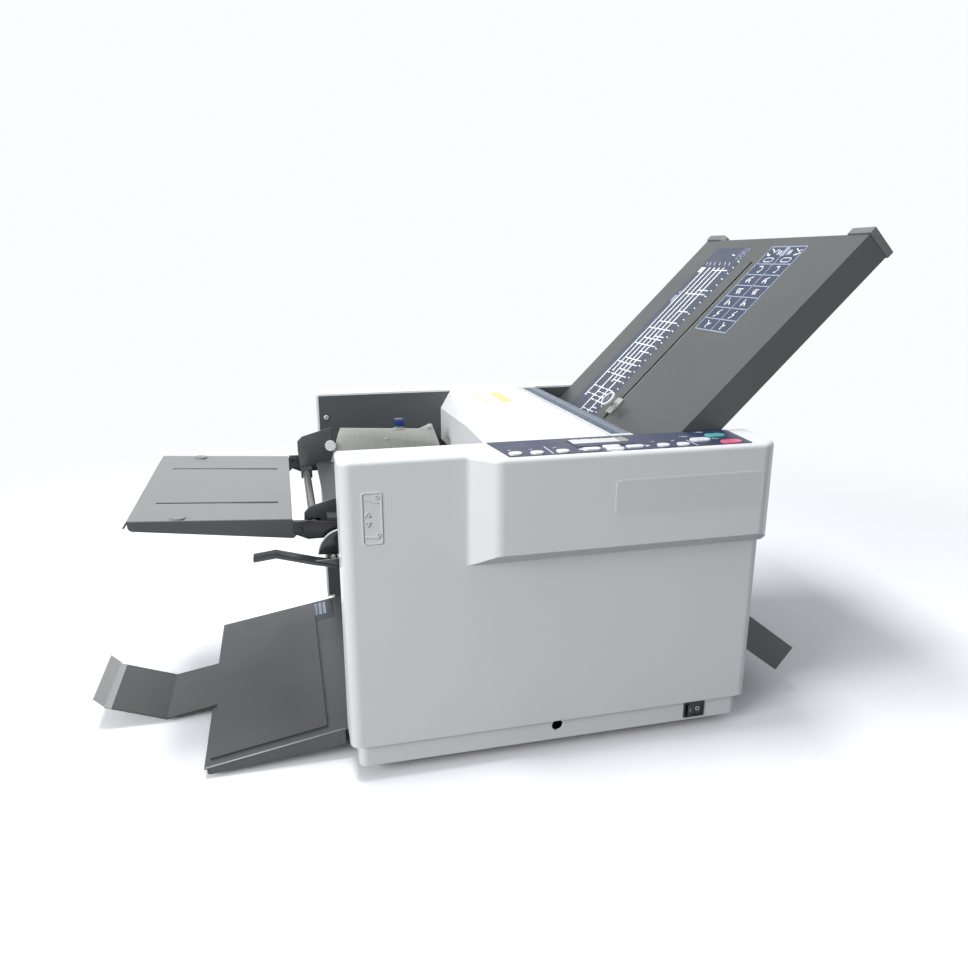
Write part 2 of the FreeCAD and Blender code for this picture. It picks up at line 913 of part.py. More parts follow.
board_left, board_right = panel_left_front, panel_right_front
key_board = box(board_left, board_right, housing_wall - bulge_depth + run_gap, panel_rear - foot_radius,
                board_top - channel_sheet, board_top)
board_studs = [
    post(x, y, frame_thick, board_top, body_top - housing_wall)
    for x in (board_left + lip_end_gap, board_right - lip_end_gap) for y in (panel_rear - foot_radius - over,)
]
power_board = box(inlet_x - housing_band, inlet_x + housing_band, rear_plate_face, rear_plate_face + channel_sheet,
                  inlet_z + inlet_height, inlet_z + inlet_height + housing_band * 2)
circuit_boards = group(key_board, *board_studs, power_board)

# Power rocker in the skirt
rocker_x = (rocker_left + rocker_right) / 2
bezel_outline = rectangle(rocker_left, rocker_right, rocker_bottom, rocker_top)
pocket_outline = rectangle(rocker_left + rocker_rim, rocker_right - rocker_rim,
                           rocker_bottom + rocker_rim, rocker_top - rocker_rim)
bezel_face = skirt_inset - bezel_flange
switch_bezel = cut(
    join(profile(bezel_outline, bezel_face, skirt_inset, bezel_flange),
         profile(rectangle(rocker_left + rocker_rim / 2, rocker_right - rocker_rim / 2,
                           rocker_bottom + rocker_rim / 2, rocker_top - rocker_rim / 2),
                 skirt_inset, skirt_inset + rocker_depth)),
    profile(pocket_outline, bezel_face - over, skirt_inset + rocker_depth - rocker_rim))
switch_hole = profile(rectangle(rocker_left + rocker_rim / 2, rocker_right - rocker_rim / 2,
                                rocker_bottom + rocker_rim / 2, rocker_top - rocker_rim / 2),
                      -over, housing_band - frame_thick - over)
front_cover = front_cover.cut(switch_hole)
rocker_half = (rocker_right - rocker_left) / 2 - rocker_rim - rocker_crown
rocker_low = rocker_bottom + rocker_rim + rocker_gap
rocker_high = rocker_top - rocker_rim - rocker_gap
rocker_axis_y = bezel_face + rocker_depth / 2
rocker_swing = math.tan(math.radians(rocker_rock)) * rocker_half
rocker_plan = [
    (rocker_x - rocker_half + rocker_gap, rocker_axis_y - run_gap),
    (rocker_x - rocker_half + rocker_gap, bezel_face - rocker_swing / 2),
    (rocker_x, bezel_face + rocker_crown),
    (rocker_x + rocker_half - rocker_gap, bezel_face - rocker_swing / 2),
    (rocker_x + rocker_half - rocker_gap, rocker_axis_y - run_gap),
    (rocker_x, rocker_axis_y + rocker_crown),
]
power_rocker = plan(rocker_plan, rocker_low, rocker_high)
power_rocker.rotate(Vec(rocker_x, rocker_axis_y, 0), Vec(0, 0, 1), rocker_rock)

# Mains inlet in the rear housing
inlet_outline = rectangle(inlet_x - inlet_width / 2, inlet_x + inlet_width / 2,
                          inlet_z - inlet_height / 2, inlet_z + inlet_height / 2)
inlet_rim = rectangle(inlet_x - inlet_width / 2 - inlet_flange, inlet_x + inlet_width / 2 + inlet_flange,
                      inlet_z - inlet_height / 2 - inlet_flange, inlet_z + inlet_height / 2 + inlet_flange)
inlet_socket = profile(
    rectangle(inlet_x - inlet_width / 2 + inlet_pin, inlet_x + inlet_width / 2 - inlet_pin,
              inlet_z - inlet_height / 2 + inlet_pin, inlet_z + inlet_height / 2 - inlet_pin),
    body_depth - inlet_depth + inlet_pin, body_depth + over, inlet_pin)
inlet_body = cut(
    join(profile(inlet_outline, body_depth - inlet_depth, body_depth, inlet_pin),
         profile(inlet_rim, body_depth, body_depth + inlet_pin, inlet_flange)),
    inlet_socket)
inlet_pins = [
    rod(inlet_x + step * inlet_flange * 1, inlet_z, inlet_pin / 2,
        body_depth - inlet_depth + inlet_pin - run_gap, body_depth - inlet_pin)
    for step in (-1, 0, 1)
]
mains_inlet = join(inlet_body, *inlet_pins)
rear_cover = rear_cover.cut(profile(inlet_outline, body_depth - housing_band / 2, body_depth + over, inlet_pin))

# Top cover between the housings
cover_front = housing_band + cover_gap
cover_rear = rear_band - cover_gap


def cover_block(inset, left, bottom):
    """Roof, faceted nose and left face of the top cover."""
    roof = body_top - inset
    front, rear = cover_front + inset, cover_rear - inset
    right = hinge_x
    block = profile([(left, bottom), (right, bottom), (right, roof), (left, roof)], front, rear)
    roof_x = cover_roof_left + inset / 2
    for y, sign in ((front, 1), (rear, -1)):
        end = Vec(left, y, cover_ridge_end - inset / 2)
        middle = Vec(left, middle_y, cover_ridge_mid - inset / 2)
        corner = Vec(roof_x, y, roof)
        flat = Vec(roof_x, middle_y, roof)
        lift = Vec(0, 0, housing_band)
        out = Vec(-housing_band, 0, 0)
        normal = (corner - middle).cross(end - middle) * sign
        chip = Part.makePolygon([corner, middle, end, corner])
        cutter = Part.Face(chip).extrude(out + lift)
        block = block.cut(cutter)
    crest = Part.Face(Part.makePolygon([
        Vec(roof_x, front, roof), Vec(roof_x, rear, roof), Vec(left, middle_y, cover_ridge_mid - inset / 2),
        Vec(roof_x, front, roof)])).extrude(Vec(-housing_band, 0, housing_band))
    return block.cut(crest)


outer_cover = cover_block(0, cover_left, cover_bottom)
inner_cover = cover_block(cover_wall, cover_left + cover_wall, cover_bottom - over)
inner_cover.translate(Vec(0, 0, 0))
knuckles = rod(hinge_x, hinge_z, hinge_radius, cover_front, cover_rear)
top_cover = outer_cover.cut(inner_cover)
window_cut = box(hinge_x - cover_wall - over, hinge_x + over, cover_front + cover_wall, cover_rear - cover_wall,
                 cover_bottom - over, body_top - cover_wall - over)
top_cover = top_cover.cut(window_cut)
corner_cut = box(hinge_x - hinge_radius, hinge_x + over, cover_front - over, cover_rear + over,
                 cover_bottom - over, body_top - hinge_radius)
top_cover = join(top_cover.cut(corner_cut), knuckles)
top_cover = top_cover.cut(rod(hinge_x, hinge_z, hinge_pin + bore_gap, cover_front - over, cover_rear + over))
slot = profile([(cover_left - over, cover_bottom - over), (cover_left + cover_slot_depth, cover_bottom - over),
                (cover_left + cover_slot_depth, cover_slot_top), (cover_left - over, cover_slot_top)],
               cover_slot_front, cover_slot_rear)
top_cover = top_cover.cut(slot).cut(mirrored(slot))
for y0, y1 in ((cover_front - over, cover_front + cover_wall + over), (cover_rear - cover_wall - over, cover_rear + over)):
    side_cut = box(cover_left + cover_wall + over, hinge_x + over, y0, y1, cover_bottom - over, cover_side_bottom)
    top_cover = top_cover.cut(side_cut)

# Ruler strip and right end cover
ribs = []
rib_pitch = (strip_right - strip_left) / strip_ribs
strip_bottom = body_top - strip_thick
ruler_strip = box(strip_left, strip_right, housing_band, rear_band, strip_bottom, body_top - rib_height)
for index in range(strip_ribs):
    rib_left = strip_left + index * rib_pitch
    ribs.append(box(rib_left, rib_left + rib_pitch / 2, housing_band, rear_band, body_top - rib_height, body_top))
ruler_strip = ruler_strip.fuse(ribs).removeSplitter()

end_path = [(end_cover_x, end_cover_bottom), (end_cover_x, end_cover_bend_z), (end_cover_top_x, end_cover_top_z)]
right_end_cover = bent_sheet(end_path, end_sheet, housing_band, rear_band)


# Fold plate 1: pan with a slotted face, an inner channel and a stop that slides in it
def set_plate_1(shape):
    place = FreeCAD.Placement(Vec(plate_top_x, 0, plate_top_z), FreeCAD.Rotation(Vec(0, 1, 0), -plate_angle))
    shape.Placement = place.multiply(shape.Placement)
    return shape


def along(x0, x1, y0, y1, z0, z1):
    return Part.makeBox(x1 - x0, y1 - y0, z1 - z0, Vec(x0, y0, z0))


def plate_pan(length, front, rear, depth, slot_start, slot_end, top):
    """Pan with an open underside. X runs up the slope to zero at its end, Z out of its face."""
    pan = along(-length, 0, front, rear, top - depth, top)
    hollow = along(-length + plate_sheet, -plate_sheet, front + plate_sheet, rear - plate_sheet,
                   top - depth - over, top - plate_sheet)
    inner = along(-length + plate_sheet, -plate_sheet, front + plate_sheet, rear - plate_sheet,
                  top - plate_sheet - channel_gap - channel_sheet, top - plate_sheet - channel_gap)
    mouth = along(-length - over, -length + plate_sheet + over, front + plate_sheet, rear - plate_sheet,
                  top - plate_sheet - channel_gap, top - plate_sheet)
    slot = along(-slot_end, -slot_start, plate_slot_y - plate_slot_width / 2, plate_slot_y + plate_slot_width / 2,
                 top - plate_sheet - over, top + over)
    return cut(join(pan.cut(hollow), inner), mouth, slot)


fold_plate_1 = set_plate_1(plate_pan(
    plate_length, plate_front, plate_rear, plate_flange, plate_slot_start, plate_slot_end, 0))


def corner_cap(y0, y1):
    """Moulded cap over one top corner of fold plate 1."""
    block = along(-cap_skirt, cap_reach, y0, y1, -plate_flange - cap_wall, cap_wall)
    block = rounded(block, cap_wall, lambda edge: edge.BoundBox.XMin > cap_reach - over)
    room = along(-cap_skirt - over, run_gap, plate_front - run_gap, plate_rear + run_gap,
                 -plate_flange - run_gap, run_gap)
    return block.cut(room)


fold_plate_1_caps = group(
    set_plate_1(corner_cap(plate_front - cap_wall, plate_front + cap_length)),
    set_plate_1(corner_cap(plate_rear - cap_length, plate_rear + cap_wall)),
)


def stop_slide(place, front, rear, top):
    """Stop bar in the paper channel with the neck and carriage that pass through the slot."""
    floor = top - plate_sheet - channel_gap
    bar = along(-place - stop_bar_width / 2, -place + stop_bar_width / 2,
                front + plate_sheet + housing_wall, rear - plate_sheet - housing_wall,
                floor + run_gap, top - plate_sheet - run_gap)
    neck = along(-place - stop_bar_width / 2, -place + stop_bar_width / 2,
                 plate_slot_y - plate_slot_width / 2 + run_gap, plate_slot_y + plate_slot_width / 2 - run_gap,
                 top - plate_sheet - run_gap, top + run_gap)
    saddle = along(-place - knob_radius, -place + knob_radius, plate_slot_y - stop_bar_width,
                   plate_slot_y + stop_bar_width, top + run_gap, top + run_gap + plate_sheet)
    stem = Part.makeCylinder(knob_neck, knob_height / 2 + plate_sheet, Vec(-place, plate_slot_y, top + run_gap))
    return join(bar, neck, saddle, stem)


def stop_knob(place, top):
    """Clamp knob with a shallow disc on top and a bore for the stem of its stop."""
    low = top + run_gap + plate_sheet + run_gap
    body = Part.makeCylinder(knob_radius, knob_height, Vec(-place, plate_slot_y, low))
    body = rounded(body, knob_disc_height, lambda edge: near(edge.BoundBox.ZMin, low + knob_height)
                   and edge.Length > knob_radius)
    disc = Part.makeCylinder(knob_disc_radius, knob_disc_height / 2, Vec(-place, plate_slot_y, low + knob_height))
    bore = Part.makeCylinder(knob_neck + bore_gap, knob_height / 2 + run_gap, Vec(-place, plate_slot_y, low))
    return join(body, disc).cut(bore)


fold_stop_1 = set_plate_1(stop_slide(knob_place, plate_front, plate_rear, 0))
stop_knob_1 = set_plate_1(stop_knob(knob_place, 0))


# Fold plate 2: the same pan turned down to the right, 36 mm thick with a moulded tip
def set_plate_2(shape):
    place = FreeCAD.Placement(Vec(plate2_tip_x, 0, plate2_tip_z), FreeCAD.Rotation(Vec(0, 1, 0), plate2_angle))
    shape.Placement = place.multiply(shape.Placement)
    return shape


plate2_front = plate_front + plate_sheet / 4
plate2_rear = plate_rear - plate_sheet / 4
plate2_body = plate_pan(plate2_length - plate2_cap, plate2_front, plate2_rear, 2 * plate2_half,
                        plate2_slot_start - plate2_cap, plate2_slot_end - plate2_cap, plate2_half)
plate2_body.translate(Vec(-plate2_cap, 0, 0))
plate2_tip = along(-plate2_cap, 0, plate2_front, plate2_rear, -plate2_half, plate2_half)
plate2_tip = rounded(plate2_tip, plate2_cap / 2, lambda edge: near(edge.BoundBox.XMin, 0))
fold_plate_2 = group(set_plate_2(plate2_body), set_plate_2(plate2_tip))
fold_stop_2 = set_plate_2(stop_slide(knob2_place, plate2_front, plate2_rear, plate2_half))
stop_knob_2 = set_plate_2(stop_knob(knob2_place, plate2_half))


# Feed table
def table_plane(x):
    """Height of the paper surface at x."""
    return table_height - table_slope_share * (x - table_right)


table_path = [
    (table_right, table_plane(table_right)),
    (table_fold_x, table_plane(table_fold_x)),
    (table_left, table_plane(table_fold_x) - table_lip_drop),
]
table_top = bent_sheet(table_path, table_sheet, table_front, table_rear)
flange_outline = [
    (table_fold_x, table_plane(table_fold_x) - table_sheet),
    (table_fold_x, table_plane(table_fold_x) - table_flange_left),
    (table_right, table_plane(table_right) - table_flange_right),
    (table_pin_x + table_flange_left / 2, table_pin_z - table_flange_left / 2),
    (table_pin_x + table_flange_left / 2, table_pin_z + table_flange_left / 3),
    (table_right, table_plane(table_right) - table_sheet),
]
flange_radii = [0, table_flange_left / 2, table_sheet, table_sheet, table_sheet, 0]
table_flanges = [
    profile(flange_outline, table_front, table_front + table_sheet, flange_radii),
    profile(flange_outline, table_rear - table_sheet, table_rear, flange_radii),
]
table_slots = [
    box(table_slot_left, table_slot_right, y - table_slot_width / 2, y + table_slot_width / 2,
        table_height - foot_radius, table_height + foot_radius)
    for y in (table_slot_front, table_slot_rear)
]
pin_bore = rod(table_pin_x, table_pin_z, table_pin_radius + bore_gap, 0, body_depth)
table_normal = Vec(table_slope_share, 0, 1)


def plug(x, y):
    return Part.makeCylinder(plug_radius, plug_height, Vec(x, y, table_plane(x)), table_normal)


feed_table = group(
    cut(join(table_top, *table_flanges), pin_bore, *table_slots),
    plug(plug_front_x, plug_front_y), plug(plug_rear_x, plug_rear_y))

# Table arms with stand-offs, pins and the rail of the paper guides
arm_outline = [
    (bracket_left, bracket_bottom + slider_width),
    (bracket_left, table_pin_z + plug_radius),
    (table_pin_x + plug_radius, table_pin_z + plug_radius),
    (rail_x - rail_radius, bracket_top),
    (lift_pin_x - plug_radius, bracket_top),
    (lift_pin_x - rail_radius, lift_pin_z + rail_radius),
    (lift_pin_x + rail_radius, lift_pin_z + rail_radius),
    (lift_pin_x + plug_radius * 2, bracket_top),
    (bracket_right, bracket_top),
    (bracket_right, bracket_bottom),
    (bracket_left + slider_width, bracket_bottom - standoff_radius),
]
arm_fronts = [table_front - run_gap - bracket_sheet, table_rear + run_gap]
arms = [profile(arm_outline, y, y + bracket_sheet, table_sheet) for y in arm_fronts]
inner_front = table_front - run_gap
inner_rear = table_rear + run_gap
rail = rod(rail_x, rail_z, rail_radius, inner_front, inner_rear)
table_pins = [
    rod(table_pin_x, table_pin_z, table_pin_radius, inner_front, inner_front + rail_radius),
    rod(table_pin_x, table_pin_z, table_pin_radius, inner_rear - rail_radius, inner_rear),
    rod(lift_pin_x, lift_pin_z, lift_pin_radius, inner_front, inner_front + rail_radius * 2),
    rod(lift_pin_x, lift_pin_z, lift_pin_radius, inner_rear - rail_radius * 2, inner_rear),
]
standoffs = [
    rod(standoff_x, z, standoff_radius, y0, y1)
    for z in (standoff_low, standoff_high)
    for y0, y1 in ((housing_band, arm_fronts[0]), (arm_fronts[1] + bracket_sheet, rear_band))
]
feed_brackets = group(*arms, rail, *table_pins, *standoffs)

# Lift plate
lift_front = inner_front + lift_side_gap
lift_rear = inner_rear - lift_side_gap
lift_path = [(lift_right, table_plane(lift_right)), (lift_left, table_plane(lift_left))]
lift_top = bent_sheet(lift_path, lift_sheet, lift_front, lift_rear)
ear_outline = [
    (lift_left, table_plane(lift_left) - lift_sheet), (lift_left, lift_pin_z - rail_radius),
    (lift_pin_x + rail_radius, lift_pin_z - rail_radius), (slider_top / 4, table_plane(slider_top / 4) - lift_sheet),
]
lift_ears = [
    profile(ear_outline, lift_front, lift_front + lift_sheet),
    profile(ear_outline, lift_rear - lift_sheet, lift_rear),
]
lift_plate = join(lift_top, *lift_ears).cut(rod(lift_pin_x, lift_pin_z, lift_pin_radius + bore_gap, 0, body_depth))

# Feed lever with its sector and the cross shaft with two lifting fingers
lever_path = [(lever_tip_x, lever_tip_z), (lever_knee_x, lever_knee_z),
              (lever_mid_x, lever_mid_z), (lever_end_x, lever_end_z)]
strap = bent_sheet(lever_path, lever_thick, lever_front, lever_rear, lever_thick)


def polar(x, z, radius, angle):
    return x + radius * math.cos(math.radians(angle)), z + radius * math.sin(math.radians(angle))



def sector_plate():
    centre = Vec(lever_x, lever_front, lever_z)
    points = [polar(lever_x, lever_z, sector_radius, angle)
              for angle in (sector_start, (sector_start + sector_end) / 2, sector_end)]
    start, middle, finish = [Vec(x, lever_front, z) for x, z in points]
    wire = Part.Wire([
        Part.LineSegment(centre, start).toShape(),
        Part.Arc(start, middle, finish).toShape(),
        Part.LineSegment(finish, centre).toShape(),
    ])
    return Part.Face(wire).extrude(Vec(0, sector_thick, 0))


finger_x = lever_x + finger_reach
finger_z = table_plane(finger_x) - lift_sheet - finger_radius - run_gap * 2


def finger(y):
    y0, y1 = y - finger_width / 2, y + finger_width / 2
    return join(rod(lever_x, lever_z, lever_shaft * 2, y0, y1),
                loop(lever_x, lever_z, lever_shaft * 2 - run_gap, finger_x, finger_z, finger_radius, y0, y1))


lever_hub = rod(lever_x, lever_z, lever_shaft * 2, lever_front, lever_rear)
shaft = rod(lever_x, lever_z, lever_shaft, front_plate_face - run_gap, rear_plate_face + run_gap)
web = profile([(lever_mid_x, lever_mid_z), (lever_x, lever_z + lever_thick), (lever_x, lever_z - lever_shaft),
               (lever_end_x, lever_end_z)], lever_front, lever_front + sector_thick)
feed_lever = join(strap, sector_plate(), web, lever_hub, shaft, finger(finger_front), finger(finger_rear))


# Paper guides on the rail
guide_lift = run_gap * 4


def guide_outline(low, high):
    return [
        (slider_left, slider_top), (guide_back_x, low), (guide_back_x, high - guide_chamfer),
        (guide_back_x + guide_chamfer, high), (guide_nose_x, high + guide_rise),
        (guide_nose_x, table_plane(guide_nose_x) + guide_lift),
        (slider_right + guide_sheet, table_plane(slider_right) + guide_lift), (slider_right, slider_top),
    ]


def slider(y0, y1):
    block = profile(rectangle(slider_left, slider_right, slider_bottom, slider_top), y0, y1, guide_sheet)
    return block.cut(rod(rail_x, rail_z, rail_radius + bore_gap, y0 - over, y1 + over))


front_low, front_high = front_guide_low, front_guide_high
front_face = guide_front + guide_sheet
front_guide = join(
    profile(guide_outline(front_low, front_high), guide_front, front_face, guide_sheet),
    slider(guide_front, guide_front + slider_width))
rear_guide = join(
    profile(guide_outline(rear_guide_low, rear_guide_high), guide_rear, guide_rear + guide_sheet, guide_sheet),
    slider(guide_rear + guide_sheet - slider_width, guide_rear + guide_sheet))

side_outline = [
    (side_left, table_plane(side_left) + guide_lift), (side_left, side_left_z),
    (side_shoulder_x, side_shoulder_z), (side_valley_x, side_valley_z), (side_ear_left, side_ear_z),
    (side_ear_right, side_ear_z), (side_right, side_right_z), (side_right, table_plane(side_right) + guide_lift),
]
side_radii = [0, plug_radius, plug_radius, plug_radius / 2, plug_radius / 2, plug_radius / 2, plug_radius / 2, 0]
knob_lug = guide_knob_radius / 2


def side_plate(y0, outward):
    """Polished steel side of a paper guide with the lug of its clamp knob."""
    sheet = profile(side_outline, y0, y0 + side_sheet, side_radii)
    lug = rod(guide_knob_x, guide_knob_z, knob_lug, y0, y0 + side_sheet)
    stay = box(guide_knob_x - knob_lug, guide_knob_x + knob_lug, y0, y0 + side_sheet,
               guide_knob_z - guide_knob_radius * 2, guide_knob_z)
    stem_y = y0 + side_sheet if outward > 0 else y0 - guide_knob_length
    stem = rod(guide_knob_x, guide_knob_z, guide_knob_stem, stem_y, stem_y + guide_knob_length)
    return join(sheet, lug, stay, stem)


def clamp_knob(face, outward):
    """Knob on the stem of a guide; outward is +1 where it lies behind the side plate."""
    start = face + run_gap if outward > 0 else face - run_gap - guide_knob_length
    body = rod(guide_knob_x, guide_knob_z, guide_knob_radius, start, start + guide_knob_length)
    grips = [
        rod(*polar(guide_knob_x, guide_knob_z, guide_knob_radius + guide_knob_stem / 2, step * 360 / knob_grips),
            guide_knob_stem, start - over, start + guide_knob_length + over)
        for step in range(knob_grips)
    ]
    bore = rod(guide_knob_x, guide_knob_z, guide_knob_stem + bore_gap, face - guide_knob_length - over / 2,
               face + guide_knob_length + over / 2)
    return cut(body, bore, *grips)


front_guide_plate = side_plate(front_face, -1)
front_guide_knob = clamp_knob(front_face, -1)
rear_guide_plate = side_plate(guide_rear - side_sheet, 1)
rear_guide_knob = clamp_knob(guide_rear, 1)

# Delivery chute, tray and its extension
chute_fall = math.tan(math.radians(chute_slope))


def chute_line(x):
    return chute_z - chute_fall * (chute_x - x)


lower_path = [(chute_right, chute_line(chute_right) - chute_drop), (chute_left, chute_line(chute_left) - chute_drop)]
upper_path = [
    (guide_right_x, guide_right_z), (guide_low_x, guide_low_z), (guide_low_x, guide_step_z),
    (guide_left_x, guide_step_z), (guide_left_x, guide_top_z),
]
exit_chute = group(
    bent_sheet(lower_path, chute_sheet, housing_band, rear_band),
    bent_sheet(upper_path, -chute_sheet, housing_band, rear_band))

tray_slope = (tray_right_z - tray_left_z) / (tray_right_x - tray_left_x)


def tray_line(x):
    return tray_left_z + tray_slope * (x - tray_left_x)


tray_floor = bent_sheet([(tray_right_x, tray_right_z), (tray_left_x, tray_left_z)], tray_sheet, tray_front, tray_rear)
tray_side = [
    (tray_left_x + tray_tab, tray_line(tray_left_x + tray_tab) - tray_sheet),
    (tray_left_x + tray_tab, tray_line(tray_left_x + tray_tab) - tray_flange_left),
    (-tray_tab, tray_line(-tray_tab) - tray_flange_right),
    (-tray_tab, tray_line(-tray_tab) - tray_sheet),
]
exit_tray = join(
    tray_floor,
    profile(tray_side, tray_front, tray_front + tray_sheet, [0, tray_tab, tray_tab, 0]),
    profile(tray_side, tray_rear - tray_sheet, tray_rear, [0, tray_tab, tray_tab, 0]))

lift_off = run_gap * math.sqrt(1 + tray_slope * tray_slope)
wide_path = [(ext_left, tray_line(ext_left) + lift_off), (ext_right, tray_line(ext_right) + lift_off)]
arm_path = [(arm_end_x, arm_end_z), (arm_bend_x, tray_line(arm_bend_x) + lift_off),
            (ext_right, tray_line(ext_right) + lift_off)]
lip_path = [(lip_end_x, lip_end_z), (arm_end_x, arm_end_z)]
ext_arm = bent_sheet(arm_path, ext_sheet, arm_front, arm_rear)
lip = bent_sheet(lip_path, lip_thick, lip_front, lip_rear).cut(ext_arm)
tray_extension = group(join(bent_sheet(wide_path, ext_sheet, ext_front, ext_rear), ext_arm), lip)

# Nodes, set on the centre of their common footprint
parts.update(key_parts)
for name in (
    "front_cover", "rear_cover", "right_end_cover", "front_side_frame", "rear_side_frame", "base_plate", "feet",
    "cross_bars", "frame_fasteners", "ruler_strip", "control_panel", "circuit_boards", "switch_bezel",
    "mains_inlet", "roller_bearings", "drive_motor", "drive_belts", "exit_chute", "exit_tray", "feed_brackets",
    "separator_pad", "top_cover", "feed_table", "lift_plate", "feed_lever", "front_guide", "front_guide_plate",
    "front_guide_knob", "rear_guide", "rear_guide_plate", "rear_guide_knob", "feed_roller", "fold_roller_1",
    "fold_roller_2", "fold_roller_3", "fold_roller_4", "motor_pulley", "exit_roller", "exit_idlers",
    "tray_extension", "fold_plate_1", "fold_plate_1_caps", "fold_stop_1", "stop_knob_1", "fold_plate_2",
    "fold_stop_2", "stop_knob_2", "power_rocker",
):
    parts[name] = globals()[name]

bounds = FreeCAD.BoundBox()
for shape in parts.values():
    bounds.add(shape.optimalBoundingBox(False, False))
shift = Vec(-(bounds.XMin + bounds.XMax) / 2, -(bounds.YMin + bounds.YMax) / 2, -bounds.ZMin)

os.makedirs("parts", exist_ok=True)
for name, shape in parts.items():
    shape.translate(shift)
    shape.exportStep("parts/" + name + ".step")
    if not shape.isValid():
        print("not valid:", name)
print("nodes", len(parts), "size", bounds.XLength, bounds.YLength, bounds.ZLength, "shift", shift)
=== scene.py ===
import json
import math

import bpy
import bmesh
from mathutils import Matrix, Vector


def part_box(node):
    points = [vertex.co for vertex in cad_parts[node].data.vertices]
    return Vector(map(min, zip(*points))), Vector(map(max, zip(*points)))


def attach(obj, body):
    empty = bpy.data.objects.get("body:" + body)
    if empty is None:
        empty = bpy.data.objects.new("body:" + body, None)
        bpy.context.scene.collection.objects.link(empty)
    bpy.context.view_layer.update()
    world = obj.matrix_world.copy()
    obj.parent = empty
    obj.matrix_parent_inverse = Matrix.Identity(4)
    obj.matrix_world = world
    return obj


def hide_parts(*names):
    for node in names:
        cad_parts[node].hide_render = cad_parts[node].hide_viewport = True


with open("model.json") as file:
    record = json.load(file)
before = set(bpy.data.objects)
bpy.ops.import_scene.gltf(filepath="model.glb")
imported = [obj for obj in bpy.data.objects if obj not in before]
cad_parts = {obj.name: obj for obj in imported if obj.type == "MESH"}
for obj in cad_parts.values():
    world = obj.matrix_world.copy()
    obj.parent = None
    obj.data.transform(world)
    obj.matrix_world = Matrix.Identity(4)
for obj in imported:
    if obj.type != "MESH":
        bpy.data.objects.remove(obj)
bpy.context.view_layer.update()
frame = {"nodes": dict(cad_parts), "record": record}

# Places on the machine are written in millimetres from the left end, the front face and the table.
MM = 0.001
BULGE_DEPTH = 26.0
cover_low, cover_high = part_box("front_cover")
machine_zero = Vector((cover_low.x, cover_low.y + BULGE_DEPTH * MM, 0.0))


def at(x, y, z):
    """Place on the machine, in millimetres, as a point of the frame."""
    return machine_zero + Vector((x, y, z)) * MM


BODY_DEPTH = 465.0
BODY_TOP = 358.0
HOUSING_BAND = 49.0
PANEL_TOP, WINDOW_TOP = 358.6, 359.1
PLATE_ANGLE = math.radians(44.84)
PLATE_TOP_X, PLATE_TOP_Z = 605.5, 573.4
TABLE_BEND_X, TABLE_BEND_Z, TABLE_FALL = -45.0, 277.5, 0.0612
TABLE_SHEET_EDGE = 276.6
TRAY_END_X, TRAY_END_Z, TRAY_RISE = -156.0, 13.0, 30.0 / 176.0
TRAY_LIP_X = -270.0
SLOT_FRONT, SLOT_REAR, SLOT_UPPER_END, SLOT_LOWER_END = 232.4, 238.8, 43.0, 331.0


# Shader maths
class Socket:
    """A node output that adds a node for each sum it is used in."""

    def __init__(self, paint, link):
        self.paint = paint
        self.link = link

    def math(self, operation, *others):
        inputs = [self.link] + [other.link if isinstance(other, Socket) else other for other in others]
        return self.paint.node("ShaderNodeMath", {"operation": operation}, dict(enumerate(inputs)))

    def clamped(self):
        return self.math("MAXIMUM", 0.0).math("MINIMUM", 1.0)


def operator(operation, reflected):
    """Method that adds the Math node of one operation, with its sides changed round when reflected."""
    def method(self, other):
        if reflected:
            return self.paint.node("ShaderNodeMath", {"operation": operation}, {0: other, 1: self})
        return self.math(operation, other)
    return method


for sign, kind in (("add", "ADD"), ("sub", "SUBTRACT"), ("mul", "MULTIPLY"), ("truediv", "DIVIDE"),
                   ("pow", "POWER"), ("lt", "LESS_THAN"), ("gt", "GREATER_THAN")):
    setattr(Socket, f"__{sign}__", operator(kind, False))
    setattr(Socket, f"__r{sign}__", operator(kind, True))


